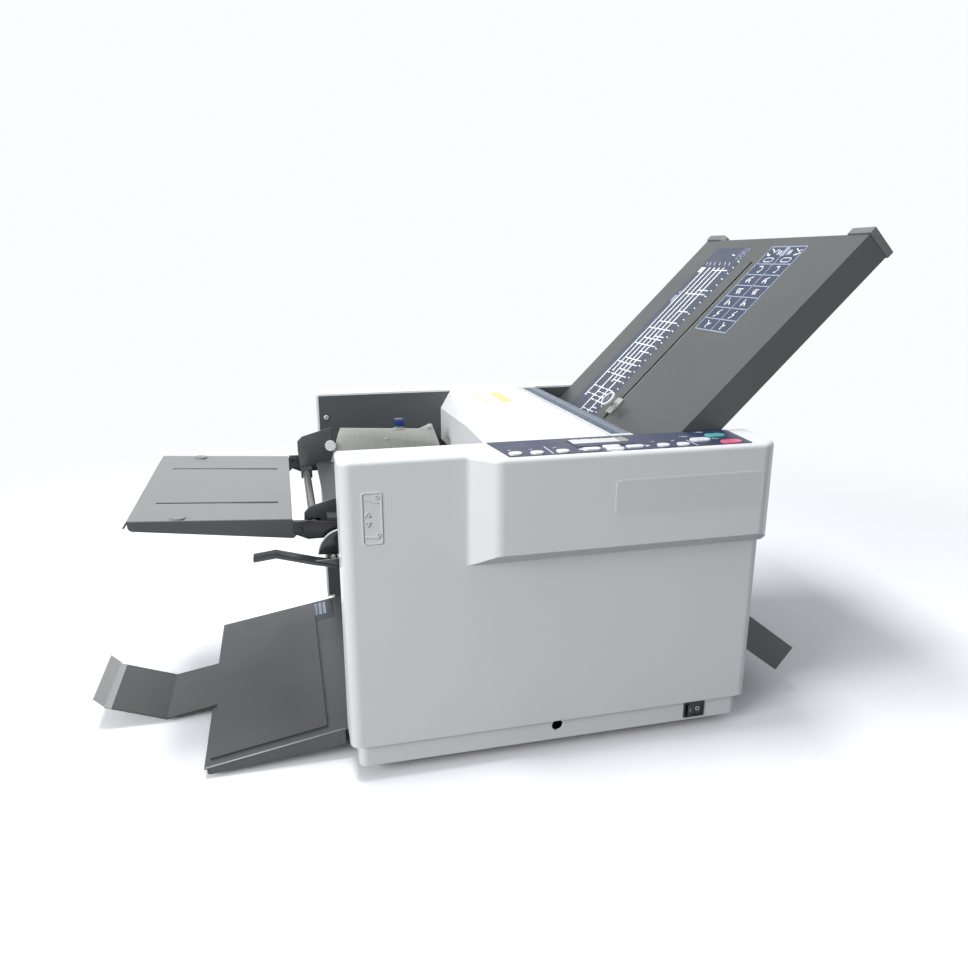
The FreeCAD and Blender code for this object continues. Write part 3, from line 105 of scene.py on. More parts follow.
class Paint:
    """The nodes that one material, or the world, is made of."""

    def __init__(self, name, owners=bpy.data.materials):
        self.owner = owners.new(name)
        self.owner.use_nodes = True
        self.tree = self.owner.node_tree
        self.place = None

    def node(self, kind, settings=None, inputs=None, output=0):
        made = self.tree.nodes.new(kind)
        for name, value in (settings or {}).items():
            setattr(made, name, value)
        for name, value in (inputs or {}).items():
            value = value.link if isinstance(value, Socket) else value
            if isinstance(value, bpy.types.NodeSocket):
                self.tree.links.new(value, made.inputs[name])
            else:
                made.inputs[name].default_value = value
        return Socket(self, made.outputs[output])

    def coordinates(self):
        if self.place is None:
            self.place = self.node("ShaderNodeTexCoord", output="Object")
        return self.place

    def mapped(self, scale):
        return self.node("ShaderNodeMapping", {}, {"Vector": self.coordinates(), "Scale": scale})

    def axes(self):
        place = self.coordinates()
        return [self.node("ShaderNodeSeparateXYZ", {}, {"Vector": place}, output=name) for name in "XYZ"]

    def noise(self, scale, detail=3.0, rough=0.5, where=None):
        return self.node("ShaderNodeTexNoise", {}, {
            "Vector": where or self.coordinates(), "Scale": scale, "Detail": detail, "Roughness": rough})

    def between(self, share, low, high):
        """Colour from low to high as share goes from 0 to 1."""
        return self.node("ShaderNodeMix", {"data_type": "RGBA"}, {"Factor": share, 6: low, 7: high}, 2)

    def span(self, value, low, high, start=0.0, end=1.0):
        """Value moved from the span low to high to the span start to end."""
        return self.node("ShaderNodeMapRange", {}, {
            "Value": value, "From Min": low, "From Max": high, "To Min": start, "To Max": end})

    def bump(self, height, depth):
        return self.node("ShaderNodeBump", {}, {"Height": height, "Distance": depth})

    def set(self, **values):
        for name, value in values.items():
            socket = self.tree.nodes["Principled BSDF"].inputs[name.replace("_", " ")]
            if isinstance(value, Socket):
                self.tree.links.new(value.link, socket)
            else:
                socket.default_value = value
        return self.owner


def colour(red, green, blue):
    """Linear colour from the 0 to 255 values that a screen shows."""
    def linear(value):
        value = value / 255
        return value / 12.92 if value <= 0.04045 else ((value + 0.055) / 1.055) ** 2.4
    return (linear(red), linear(green), linear(blue), 1.0)


# Finishes
MOULD_GRAIN, FILM_GRAIN, MATT_GRAIN = 0.00002, 0.000004, 0.000006
ORANGE_PEEL = 0.00003


def moulded_plastic(name, shade, dusk, roughness, grain=MOULD_GRAIN, coat=0.0):
    """Moulded plastic with a fine spark-eroded grain and a slow drift of tone."""
    paint = Paint(name)
    drift = paint.noise(7.0, 2.0)
    speck = paint.noise(900.0, 4.0)
    tone = (drift * 0.7 + speck * 0.3).clamped()
    grain_map = paint.noise(2600.0, 2.0)
    rough = paint.span(paint.noise(60.0, 3.0), 0.3, 0.7, roughness - 0.04, roughness + 0.05)
    return paint.set(
        Base_Color=paint.between(tone, colour(*shade), colour(*dusk)), Roughness=rough, Coat_Weight=coat,
        Normal=paint.bump(grain_map, grain))


def painted_sheet(name, shade, dusk, roughness, coat=0.0, marked=None):
    """Powder-coated sheet steel: fine texture, a few paler specks and a soft drift.

    marked gives the share of a second colour at each place, and that colour.
    """
    paint = Paint(name)
    shade, dusk = colour(*shade), colour(*dusk)
    peel = paint.noise(1100.0, 3.0, 0.6)
    drift = paint.noise(9.0, 3.0)
    fleck = paint.span(paint.noise(2400.0, 1.0), 0.62, 0.74)
    tone = (drift * 0.6 + peel * 0.4).clamped()
    base = paint.between(tone, shade, dusk)
    pale = tuple(min(1.0, channel * 1.35) for channel in shade[:3]) + (1.0,)
    rough = paint.span(drift, 0.3, 0.7, roughness - 0.05, roughness + 0.06)
    tone = paint.between(fleck * 0.5, base, pale)
    if marked:
        share, second = marked
        tone = paint.between(share(*paint.axes()), tone, colour(*second))
    return paint.set(
        Base_Color=tone, Roughness=rough, Metallic=0.1, Coat_Weight=coat, Coat_Roughness=0.3,
        Normal=paint.bump(peel, ORANGE_PEEL))


def machine_place(x, y, z):
    """The three object coordinates in millimetres from the machine's own zero."""
    return [(axis - start) / MM for axis, start in zip((x, y, z), machine_zero)]


def painted_sheen_on_table_top(x, y, z):
    """One on the upper side of the feed table, nothing on its flanges: the upper side is painted lighter as a
    painted sheen.
    """
    mm_x, _, mm_z = machine_place(x, y, z)
    return (mm_z + (mm_x - TABLE_BEND_X) * TABLE_FALL) > TABLE_SHEET_EDGE


def tray_lip(x, y, z):
    """One on the upturned stop of the tray extension."""
    return machine_place(x, y, z)[0] < TRAY_LIP_X


def painted_shade_in_plate_slot(x, y, z):
    """One in the slot of fold plate 1 and on a thin strip behind it, which are painted near-black as painted
    shade.
    """
    mm_x, mm_y, mm_z = machine_place(x, y, z)
    down = (PLATE_TOP_X - mm_x) * math.cos(PLATE_ANGLE) + (PLATE_TOP_Z - mm_z) * math.sin(PLATE_ANGLE)
    return (mm_y > SLOT_FRONT) * (mm_y < SLOT_REAR) * (down > SLOT_UPPER_END) * (down < SLOT_LOWER_END)


def brushed_metal(name, shade, dusk, roughness, direction=(1, 1, 1), metallic=1.0):
    """Steel with fine grinding marks along one direction."""
    paint = Paint(name)
    where = paint.mapped(direction)
    streak = paint.noise(900.0, 4.0, 0.65, where)
    cloud = paint.noise(25.0, 3.0)
    tone = (streak * 0.6 + cloud * 0.4).clamped()
    rough = paint.span(streak, 0.3, 0.7, roughness - 0.07, roughness + 0.09)
    return paint.set(
        Base_Color=paint.between(tone, colour(*dusk), colour(*shade)), Metallic=metallic, Roughness=rough,
        Normal=paint.bump(streak, 0.00001))


def soft_rubber(name, shade, dusk, roughness):
    """Rubber with ground marks round its axis and a light bloom."""
    paint = Paint(name)
    marks = paint.noise(700.0, 3.0, 0.6, paint.mapped((1, 0.15, 1)))
    bloom = paint.noise(30.0, 3.0)
    tone = (marks * 0.5 + bloom * 0.5).clamped()
    rough = paint.span(bloom, 0.3, 0.7, roughness - 0.05, roughness + 0.08)
    return paint.set(
        Base_Color=paint.between(tone, colour(*shade), colour(*dusk)), Roughness=rough,
        Normal=paint.bump(marks, 0.00004))


GREY_SHADE, GREY_DUSK = (72, 75, 75), (66, 69, 69)
# The table tone is a painted sheen on the feed table's upper side; the slot tone is painted shade in the slot
# of fold plate 1.
TABLE_PAINTED_SHEEN, LIP_TONE, SLOT_PAINTED_SHADE = (126, 129, 129), (172, 174, 174), (12, 13, 14)

# Each finish: its name, its lighter and darker shade and its roughness. For plastic, then its grain and coat.
PLASTICS = (
    ("housing_white", (226, 229, 230), (220, 223, 225), 0.36, MOULD_GRAIN, 0.05),
    ("cap_grey", (112, 115, 116), (104, 107, 108), 0.5),
    ("panel_navy", (30, 44, 76), (25, 38, 68), 0.4, FILM_GRAIN),
    ("board_green", (30, 92, 58), (24, 80, 50), 0.4),
    ("ruler_blue", (66, 78, 96), (60, 72, 90), 0.4),
    ("switch_black", (28, 28, 29), (22, 22, 23), 0.3),
    ("key_white", (232, 235, 238), (224, 228, 232), 0.22, FILM_GRAIN),
    ("key_teal", (92, 172, 174), (84, 164, 168), 0.24, FILM_GRAIN),
    ("key_red", (222, 104, 134), (216, 94, 124), 0.24, FILM_GRAIN),
    ("knob_white", (234, 235, 234), (226, 227, 227), 0.25, MATT_GRAIN),
    ("knob_blue", (34, 62, 120), (28, 52, 104), 0.3),
    # White for print, and for the painted highlight on the lever sector's rim.
    ("print_white", (226, 230, 234), (216, 221, 226), 0.4),
    ("badge_film", (218, 221, 222), (213, 216, 218), 0.26, FILM_GRAIN),
    # Lighter tone for the painted highlight round the name film's edge.
    ("badge_edge", (236, 239, 240), (230, 233, 235), 0.3),
    # Darker grey for the painted shadow under the raised symbol.
    ("relief_shade", (158, 163, 165), (150, 155, 157), 0.45),
    ("scale_film", (56, 65, 84), (50, 59, 78), 0.4, MATT_GRAIN),
    ("print_pale", (150, 160, 176), (140, 150, 167), 0.45),
    ("chart_navy", (40, 52, 78), (35, 47, 72), 0.4, MATT_GRAIN),
    ("chart_pale", (150, 162, 184), (140, 152, 175), 0.45),
    ("ruler_pale", (146, 160, 182), (137, 150, 172), 0.45),
    ("ruler_dark", (48, 58, 80), (43, 52, 74), 0.45),
    ("pad_orange", (246, 214, 150), (242, 206, 138), 0.5),
    ("label_dark", (38, 46, 58), (32, 39, 50), 0.4),
    ("display_pale", (214, 216, 212), (204, 206, 200), 0.3, FILM_GRAIN),
    ("display_khaki", (158, 156, 138), (146, 144, 126), 0.3, FILM_GRAIN),
    # Pale grey for the painted highlights along bends and cut edges.
    ("edge_pale", (178, 181, 180), (166, 170, 169), 0.4),
)
# For paint, then its coat and its marked place.
PAINTS = (
    ("plate_grey", GREY_SHADE, GREY_DUSK, 0.42, 0.2),
    # Feed table: flanges in a dark grey, its upper side painted much lighter as a painted sheen.
    ("table_paint", (60, 64, 64), (55, 59, 59), 0.4, 0.3, (painted_sheen_on_table_top, TABLE_PAINTED_SHEEN)),
    ("extension_paint", GREY_SHADE, GREY_DUSK, 0.42, 0.2, (tray_lip, LIP_TONE)),
    # Fold plate 1: its slot and a thin strip behind it painted near-black as painted shade.
    ("slotted_paint", GREY_SHADE, GREY_DUSK, 0.42, 0.2, (painted_shade_in_plate_slot, SLOT_PAINTED_SHADE)),
    ("guide_paint", (72, 76, 77), (64, 68, 69), 0.42, 0.2),
    ("lever_paint", (50, 53, 56), (42, 45, 48), 0.3, 0.5),
    ("chute_paint", (22, 24, 26), (16, 18, 20), 0.5),
    ("frame_grey", (84, 88, 90), (77, 81, 83), 0.4),
    ("dark_metal", (42, 44, 46), (34, 36, 38), 0.38),
    ("motor_black", (52, 53, 55), (44, 45, 47), 0.5),
)
# For steel, then its grinding direction and how metallic it is.
STEELS = (
    ("bright_steel", (224, 224, 219), (168, 169, 164), 0.34, (1, 1, 0.04), 0.45),
    ("rail_steel", (150, 152, 152), (110, 112, 112), 0.3, (1, 0.05, 1), 0.6),
    ("turned_steel", (190, 190, 190), (150, 150, 152), 0.32, (1, 0.05, 1)),
)
RUBBERS = (
    ("foot_rubber", (46, 46, 47), (38, 38, 39), 0.7),
    ("roller_rubber", (62, 62, 64), (48, 48, 50), 0.6),
    ("belt_black", (34, 34, 34), (26, 26, 26), 0.75),
)
MAKERS = ((moulded_plastic, PLASTICS), (painted_sheet, PAINTS), (brushed_metal, STEELS), (soft_rubber, RUBBERS))
finish = {name: maker(name, *values) for maker, rows in MAKERS for name, *values in rows}
finish_of_slot = {"ruler_blue": "housing_white", "bearing_steel": "turned_steel"}


def dress(node, finish_name):
    """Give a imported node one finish."""
    mesh_object = frame["nodes"][node]
    mesh_object.data.materials.clear()
    mesh_object.data.materials.append(finish[finish_name])


slot_of_node = {entry["node"]: entry["material_slot"] for entry in frame["record"]["subparts"]}
finish_of_node = {
    "feed_table": "table_paint", "tray_extension": "extension_paint", "fold_plate_1": "slotted_paint",
    "exit_chute": "chute_paint", "lift_plate": "guide_paint",
}
for node_name in frame["nodes"]:
    slot = slot_of_node[node_name]
    dress(node_name, finish_of_node.get(node_name, finish_of_slot.get(slot, slot)))


# Meshes
def made_mesh(name, source):
    """Plain mesh from a working one, which is freed."""
    mesh = bpy.data.meshes.new(name)
    source.to_mesh(mesh)
    source.free()
    return mesh


def put_in_scene(name, data):
    thing = bpy.data.objects.new(name, data)
    bpy.context.scene.collection.objects.link(thing)
    return thing


def add_object(name, mesh, finish_name, body):
    """A new piece in its final place, with one finish, that moves with a body."""
    piece = put_in_scene(name, mesh)
    mesh.materials.clear()
    mesh.materials.append(finish[finish_name])
    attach(piece, body)
    return piece


def around(u, v, radius, turn):
    """Point on a circle, at a turn in degrees."""
    turn = math.radians(turn)
    return (u + radius * math.cos(turn), v + radius * math.sin(turn))


def circle(radius, steps, u=0.0, v=0.0):
    return [around(u, v, radius, 360 * step / steps) for step in range(steps)]


def quads(lower, upper):
    """Four-sided faces between two rings of the same number of points."""
    return zip(lower, lower[1:] + lower[:1], upper[1:] + upper[:1], upper)


class Face:
    """A flat place on the machine: u and v run along it and n out of it, all in millimetres."""

    def __init__(self, origin, u, v):
        self.origin = origin
        self.u = Vector(u).normalized()
        self.v = Vector(v).normalized()
        self.n = self.u.cross(self.v)

    def point(self, u, v, n=0.0):
        return self.origin + (self.u * u + self.v * v + self.n * n) * MM


class Print:
    """Thin film or paint on a face, built of closed slabs. Unless told otherwise, it stays on the chassis."""

    def __init__(self, face, low=0.02, high=0.1):
        self.face = face
        self.low = low
        self.high = high
        self.mesh = bmesh.new()

    def polygon(self, corners):
        """Slab over a convex outline whose corners run the right way round as seen from outside."""
        turn = sum((b[0] - a[0]) * (b[1] + a[1]) for a, b in zip(corners, corners[1:] + corners[:1]))
        corners = corners if turn < 0 else corners[::-1]
        top = [self.mesh.verts.new(self.face.point(u, v, self.high)) for u, v in corners]
        base = [self.mesh.verts.new(self.face.point(u, v, self.low)) for u, v in corners]
        self.mesh.faces.new(top)
        self.mesh.faces.new(base[::-1])
        for quad in quads(base, top):
            self.mesh.faces.new(quad)

    def rectangle(self, u0, u1, v0, v1):
        self.polygon([(u0, v0), (u1, v0), (u1, v1), (u0, v1)])

    def line(self, start, end, width):
        run = Vector(end) - Vector(start)
        side = Vector((-run.y, run.x)).normalized() * width / 2
        start, end = Vector(start), Vector(end)
        self.polygon([tuple(start - side), tuple(end - side), tuple(end + side), tuple(start + side)])

    def path(self, points, width):
        for start, end in zip(points, points[1:]):
            self.line(start, end, width)

    def disc(self, u, v, radius, steps=20):
        self.polygon(circle(radius, steps, u, v))

    def arc(self, u, v, radius, width, start=0.0, end=360.0, steps=24):
        inner, outer = radius - width / 2, radius + width / 2
        turns = [start + (end - start) * step / steps for step in range(steps + 1)]
        for turn, after in zip(turns, turns[1:]):
            self.polygon([around(u, v, inner, turn), around(u, v, outer, turn),
                          around(u, v, outer, after), around(u, v, inner, after)])

    def rounded(self, u0, u1, v0, v1, radius, steps=6):
        self.polygon(rounded_corners(u0, u1, v0, v1, radius, steps))

    def frame_line(self, u0, u1, v0, v1, radius, width, steps=6):
        outer = rounded_corners(u0, u1, v0, v1, radius, steps)
        radius = max(radius - width, 0.1)
        inner = rounded_corners(u0 + width, u1 - width, v0 + width, v1 - width, radius, steps)
        for quad in quads(outer, inner):
            self.polygon(quad)

    def finish(self, name, finish_name, body="chassis"):
        add_object(name, made_mesh(name, self.mesh), finish_name, body)


def rounded_corners(u0, u1, v0, v1, radius, steps):
    """Outline of a rectangle with round corners."""
    centres = [(u1 - radius, v1 - radius, 0), (u0 + radius, v1 - radius, 90),
               (u0 + radius, v0 + radius, 180), (u1 - radius, v0 + radius, 270)]
    outline = []
    for u, v, start in centres:
        outline += [around(u, v, radius, start + 90 * step / steps) for step in range(steps + 1)]
    return outline


# Faces that carry prints
def level(z):
    return Face(at(0, 0, z), (1, 0, 0), (0, 1, 0))


panel_face, roof_face, window_face = level(PANEL_TOP), level(BODY_TOP), level(WINDOW_TOP)
front_face = Face(at(0, 0, 0), (1, 0, 0), (0, 0, 1))
bulge_face = Face(at(0, -BULGE_DEPTH, 0), (1, 0, 0), (0, 0, 1))
tray_face = Face(at(TRAY_END_X, 0, TRAY_END_Z), (1, 0, TRAY_RISE), (0, 1, 0))
# On fold plate 1, u runs down the slope from the top edge and v towards the front.
plate_face = Face(at(PLATE_TOP_X, 0, PLATE_TOP_Z), (-math.cos(PLATE_ANGLE), 0, -math.sin(PLATE_ANGLE)),
                  (0, -1, 0))


def tray_z(x):
    return TRAY_END_Z + TRAY_RISE * (x - TRAY_END_X)


def tray_u(x):
    return (x - TRAY_END_X) * math.hypot(1.0, TRAY_RISE)


def table_z(x):
    return TABLE_BEND_Z - TABLE_FALL * (x - TABLE_BEND_X)


# Rows of equal blocks, made by one node tree
ROW_INPUTS = (("Count", "Int"), ("Start", "Vector"), ("Step", "Vector"), ("Block Size", "Vector"),
              ("Turn", "Vector"), ("Material", "Material"))


def row_tree():
    """Node tree that adds a row of equal blocks to what comes in."""
    tree = bpy.data.node_groups.new("row_of_blocks", "GeometryNodeTree")
    for name, kind in (("Geometry", "Geometry"),) + ROW_INPUTS:
        tree.interface.new_socket(name, in_out="INPUT", socket_type="NodeSocket" + kind)
    tree.interface.new_socket("Geometry", in_out="OUTPUT", socket_type="NodeSocketGeometry")

    def node(kind, links, **settings):
        made = tree.nodes.new(kind)
        for name, value in settings.items():
            setattr(made, name, value)
        for name, sources in links.items():
            for source in sources if isinstance(sources, tuple) else (sources,):
                tree.links.new(source, made.inputs[name])
        return made.outputs

    given = node("NodeGroupInput", {})
    line = node("GeometryNodeMeshLine", {
        "Count": given["Count"], "Start Location": given["Start"], "Offset": given["Step"]}, mode="OFFSET")
    block = node("GeometryNodeMeshCube", {"Size": given["Block Size"]})
    placed = node("GeometryNodeInstanceOnPoints", {
        "Points": line["Mesh"], "Instance": block["Mesh"], "Rotation": given["Turn"]})
    both = node("GeometryNodeJoinGeometry", {"Geometry": (placed["Instances"], given["Geometry"])})
    realized = node("GeometryNodeRealizeInstances", {"Geometry": both["Geometry"]})
    painted = node("GeometryNodeSetMaterial", {
        "Geometry": realized["Geometry"], "Material": given["Material"]})
    node("NodeGroupOutput", {"Geometry": painted["Geometry"]})
    return tree


def rows_of_blocks(name, rows, finish_name, body="chassis"):
    """Piece made of rows: each has a face, count, first middle, step, block size and lean in the face."""
    start_mesh = bpy.data.meshes.new("start")
    maker = put_in_scene("maker", start_mesh)
    for face, count, first, step, size, lean in rows:
        modifier = maker.modifiers.new("row", "NODES")
        modifier.node_group = block_rows
        axes = Matrix((face.u, face.v, face.n)).transposed() @ Matrix.Rotation(lean, 3, "Z")
        values = {
            "Count": count, "Start": tuple(face.point(*first)),
            "Step": tuple((face.u * step[0] + face.v * step[1]) * MM),
            "Block Size": tuple(side * MM for side in size), "Turn": tuple(axes.to_euler()),
            "Material": finish[finish_name],
        }
        for socket in block_rows.interface.items_tree:
            if socket.in_out == "INPUT" and socket.name in values:
                modifier[socket.identifier] = values[socket.name]
    maker.update_tag()
    bpy.context.view_layer.update()
    seen = maker.evaluated_get(bpy.context.evaluated_depsgraph_get())
    mesh = bpy.data.meshes.new_from_object(seen)
    mesh.name = name
    bpy.data.objects.remove(maker)
    bpy.data.meshes.remove(start_mesh)
    add_object(name, mesh, finish_name, body)


block_rows = row_tree()


# Solid pieces built up in one mesh
def rounded_outline(points, radii, steps=5):
    """Outline whose corners are arcs of the given radii."""
    outline = []
    for index, radius in enumerate(radii):
        corner = Vector(points[index])
        before = Vector(points[index - 1]) - corner
        after = Vector(points[(index + 1) % len(points)]) - corner
        if radius == 0:
            outline.append(tuple(corner))
            continue
        half = before.angle(after) / 2
        reach = min(radius / math.tan(half), before.length * 0.45, after.length * 0.45)
        inward = (before.normalized() + after.normalized()).normalized()
        centre = corner + inward * reach / math.cos(half)
        start = corner + before.normalized() * reach - centre
        end = corner + after.normalized() * reach - centre
        outline += [tuple(centre + start.slerp(end, step / steps)) for step in range(steps + 1)]
    return outline


def shade_by_angle(mesh, degrees=32.0):
    """Smooth shading that stays crisp at the real edges."""
    for polygon in mesh.polygons:
        polygon.use_smooth = True
    mesh.set_sharp_from_angle(angle=math.radians(degrees))


class Build:
    """Solid pieces of one node, put together in one mesh. Unless told otherwise, they stay on the chassis."""

    def __init__(self):
        self.mesh = bmesh.new()

    def take(self, part):
        bmesh.ops.recalc_face_normals(part, faces=part.faces)
        loose = made_mesh("part", part)
        self.mesh.from_mesh(loose)
        bpy.data.meshes.remove(loose)

    def slab(self, near_rim, far_rim, edge):
        """Slab between two rims of points, with its rims rounded."""
        part = bmesh.new()
        rims = [[part.verts.new(point) for point in rim] for rim in (near_rim, far_rim)]
        for rim in rims:
            part.faces.new(rim)
        for quad in quads(*rims):
            part.faces.new(quad)
        bmesh.ops.recalc_face_normals(part, faces=part.faces)
        if edge:
            rim_edges = [line for line in part.edges
                         if any(all(vert in rim for vert in line.verts) for rim in rims)]
            bmesh.ops.bevel(part, geom=rim_edges, offset=edge * MM, segments=2, profile=0.5, affect="EDGES",
                            clamp_overlap=True)
        self.take(part)

    def sheet(self, outline, y0, y1, radii=None, edge=0.35):
        outline = rounded_outline(outline, radii) if radii else outline
        self.slab([at(x, y0, z) for x, z in outline], [at(x, y1, z) for x, z in outline], edge)

    def box(self, x0, x1, y0, y1, z0, z1, edge=0.35, radii=None):
        self.sheet([(x0, z0), (x1, z0), (x1, z1), (x0, z1)], y0, y1, radii, edge)

    def rod(self, start, end, radius, steps=28, edge=0.4):
        start, end = at(*start), at(*end)
        turn = (end - start).to_track_quat("Z", "Y")
        ring = [turn @ (Vector((*place, 0)) * MM) for place in circle(radius, steps)]
        self.slab([start + arm for arm in ring], [end + arm for arm in ring], edge)

    def bar(self, x, z, y0, y1, radius, edge=0.4):
        """Rod that runs from front to rear."""
        self.rod((x, y0, z), (x, y1, z), radius, edge=edge)

    def strip(self, path, thick, y0, y1, edge=0.5):
        """Bent flat bar that follows a path of x and z, with its thickness under it."""
        under = []
        for index, place in enumerate(path):
            here = Vector(place)
            runs = [Vector(path[other]) - here for other in (index - 1, index + 1) if 0 <= other < len(path)]
            runs = [run if index < len(path) - 1 and run == runs[-1] else -run for run in runs]
            normals = [Vector((run.y, -run.x)).normalized() for run in runs]
            normal = sum(normals, Vector((0, 0))).normalized()
            under.append(tuple(here + normal * thick / max(normal.dot(normals[0]), 0.5)))
        radii = [0] + [thick] * (len(path) - 2) + [0]
        self.sheet(list(path) + under[::-1], y0, y1, radii + radii[::-1], edge)

    def finish(self, name, finish_name, body="chassis", node=None):
        mesh = made_mesh(name, self.mesh)
        shade_by_angle(mesh)
        piece = add_object(name, mesh, finish_name, body)
        if node:
            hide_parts(node)


# Arms of the feed table, rail and paper guides
TABLE_FRONT, TABLE_REAR = 86.8, 381.5
RAIL_X, RAIL_Z, RAIL_RADIUS = -22.0, 263.0, 5.0
ARM_SHEET, GAP = 2.5, 0.3
GUIDE_FRONT, GUIDE_REAR, GUIDE_SHEET = 110.5, 342.0, 2.5
SIDE_SHEET, SLIDER_WIDTH = 1.6, 12.0
KNOB_X, KNOB_Z = 109.0, 325.0
TABLE_PIN, LIFT_PIN = (-40.0, 271.0, 5.0), (-4.0, 266.0, 10.0)


def feed_arms():
    arms = Build()
    outline = [(-46.0, 260.5), (-46.0, 276.5), (-30.0, 276.5), (13.0, 268.5), (42.0, 268.5), (42.0, 253.0),
               (-30.0, 253.0)]
    fronts = (TABLE_FRONT - GAP - ARM_SHEET, TABLE_REAR + GAP)
    for front, lip_front in zip(fronts, (fronts[0] - 6.0, fronts[1] + ARM_SHEET)):
        arms.sheet(outline, front, front + ARM_SHEET, [2.0] * len(outline))
        arms.box(-44.0, -30.0, lip_front, lip_front + 6.0, 274.5, 276.5)
    inner_front, inner_rear = TABLE_FRONT - GAP, TABLE_REAR + GAP
    for x, z, length in TABLE_PIN, LIFT_PIN:
        arms.bar(x, z, inner_front, inner_front + length, 2.5)
        arms.bar(x, z, inner_rear - length, inner_rear, 2.5)
    for z in (257.0, 264.0):
        arms.bar(34.0, z, HOUSING_BAND, fronts[0], 3.5)
        arms.bar(34.0, z, fronts[1] + ARM_SHEET, BODY_DEPTH - HOUSING_BAND, 3.5)
    for front, side in ((fronts[0], -1), (fronts[1] + ARM_SHEET, 1)):
        arms.bar(-38.0, 265.0, front, front + side * 1.6, 3.2)
    arms.finish("table_arms", "dark_metal", "chassis", "feed_brackets")
    rail = Build()
    rail.bar(RAIL_X, RAIL_Z, inner_front, inner_rear, RAIL_RADIUS, edge=0.8)
    rail.finish("guide_rail", "rail_steel")


def guide_bracket(name, low, high, foot, y, slider_front, node):
    """Dark sheet of a guide, with its slider round the rail."""
    bracket = Build()
    outline = [(-33.5, low), (-33.5, high - 7.0), (-26.5, high), (16.0, high + 12.1), (16.0, 274.97)] + foot
    bracket.sheet(outline, y, y + GUIDE_SHEET, [2.5] * len(outline), 0.5)
    bracket.box(-31.0, -13.0, slider_front, slider_front + SLIDER_WIDTH, RAIL_Z - 8.0, RAIL_Z + 8.0,
                0.5, [2.5] * 4)
    bracket.finish(name, "guide_paint", node, node)


def side_plate(name, y, outward, node, body):
    """Polished steel side of a guide, with its clamp's lug, ear bolt and screw."""
    plate = Build()
    outline = [(12.0, 275.2), (12.0, 322.0), (26.0, 330.0), (138.0, 313.0), (147.0, 327.0), (158.0, 327.0),
               (168.0, 294.0), (168.0, 265.7)]
    plate.sheet(outline, y, y + SIDE_SHEET, [0, 14.0, 8.0, 4.0, 5.5, 5.5, 4.0, 0], 0.3)
    face = y if outward > 0 else y + SIDE_SHEET
    reach = face + outward * 15.0
    front, rear = sorted((face, reach))
    plate.box(101.0, 117.0, front, rear, 315.2, 316.8)
    lug_front, lug_rear = sorted((reach, reach - outward * SIDE_SHEET))
    plate.box(104.0, 114.0, lug_front, lug_rear, 315.2, 330.0)
    plate.bar(KNOB_X, KNOB_Z, reach, face + outward * 3.0, 2.0)
    plate.bar(151.0, 318.0, face, face - outward * 2.4, 3.2, edge=0.7)
    plate.bar(90.0, 304.0, face, face - outward * 1.2, 2.4, edge=0.5)
    plate.finish(name, "bright_steel", body, node)


def wing_knob(name, face, outward, node):
    knob = Build()
    front, rear = sorted((face + outward * 2.2, face + outward * 12.8))
    knob.box(KNOB_X - 8.0, KNOB_X + 8.0, front, rear, KNOB_Z - 6.0, KNOB_Z + 6.0, 1.2, [2.0] * 4)
    knob.finish(name, "knob_blue", node, node)


def paper_guides():
    guide_bracket("front_guide_bracket", 259.0, 283.8, [(-2.0, 276.1), (-2.0, 258.0), (-31.0, 258.0)],
                  GUIDE_FRONT, GUIDE_FRONT, "front_guide")
    guide_bracket("rear_guide_bracket", 292.0, 314.0, [(-10.5, 276.7), (-13.0, 268.5), (-31.0, 268.5)],
                  GUIDE_REAR, GUIDE_REAR + GUIDE_SHEET - SLIDER_WIDTH, "rear_guide")
    front_face, rear_face = GUIDE_FRONT + GUIDE_SHEET, GUIDE_REAR - SIDE_SHEET
    side_plate("front_side_plate", front_face, -1, "front_guide_plate", "front_guide")
    side_plate("rear_side_plate", rear_face, 1, "rear_guide_plate", "rear_guide")
    wing_knob("front_wing_knob", front_face, -1, "front_guide_knob")
    wing_knob("rear_wing_knob", rear_face, 1, "rear_guide_knob")


# Feed lever: strap, sector, cross shaft and lifting fingers
LEVER_X, LEVER_Z = 8.0, 237.0
LEVER_FRONT, LEVER_REAR, SECTOR_REAR = 56.0, 76.0, 78.5
SECTOR_RADIUS, SECTOR_START, SECTOR_END = 28.5, 95.0, 178.0
FINGER_X, FINGER_Z = 32.0, 264.2


def lever_arc(radius, start, end, steps, centre=(LEVER_X, LEVER_Z)):
    return [around(*centre, radius, start + (end - start) * step / steps) for step in range(steps + 1)]


def feed_lever():
    lever = Build()
    lever.strip([(-87.5, 245.5), (-64.0, 250.3), (-24.0, 238.7), (1.0, 231.0)], 3.0, LEVER_FRONT, LEVER_REAR)
    sector = [(LEVER_X, LEVER_Z)] + lever_arc(SECTOR_RADIUS, SECTOR_START, SECTOR_END, 24)
    lever.sheet(sector, LEVER_REAR, SECTOR_REAR)
    lever.sheet([(-24.0, 238.7), (LEVER_X, 240.0), (LEVER_X, 233.0), (1.0, 231.0)],
                LEVER_FRONT, LEVER_FRONT + 2.5)
    lever.bar(LEVER_X, LEVER_Z, LEVER_FRONT, SECTOR_REAR, 8.0)
    lever.bar(LEVER_X, LEVER_Z, 52.3, 412.7, 4.0)
    lean = math.degrees(math.atan2(FINGER_Z - LEVER_Z, FINGER_X - LEVER_X))
    for y in (140.0, 325.0):
        link = lever_arc(8.0, lean + 86.0, lean + 274.0, 18)
        link += lever_arc(6.0, lean - 86.0, lean + 86.0, 14, (FINGER_X, FINGER_Z))
        lever.sheet(link, y - 5.0, y + 5.0)
    lever.finish("lever_and_sector", "lever_paint", "feed_lever", "feed_lever")


# Corner caps and clamp knob of fold plate 1
PLATE_FRONT, PLATE_REAR = 51.5, 413.7
CAP_LENGTH, CAP_REACH, CAP_PROUD, CAP_DROP, CAP_BEVEL = 44.0, 10.0, 2.5, 38.0, 6.0


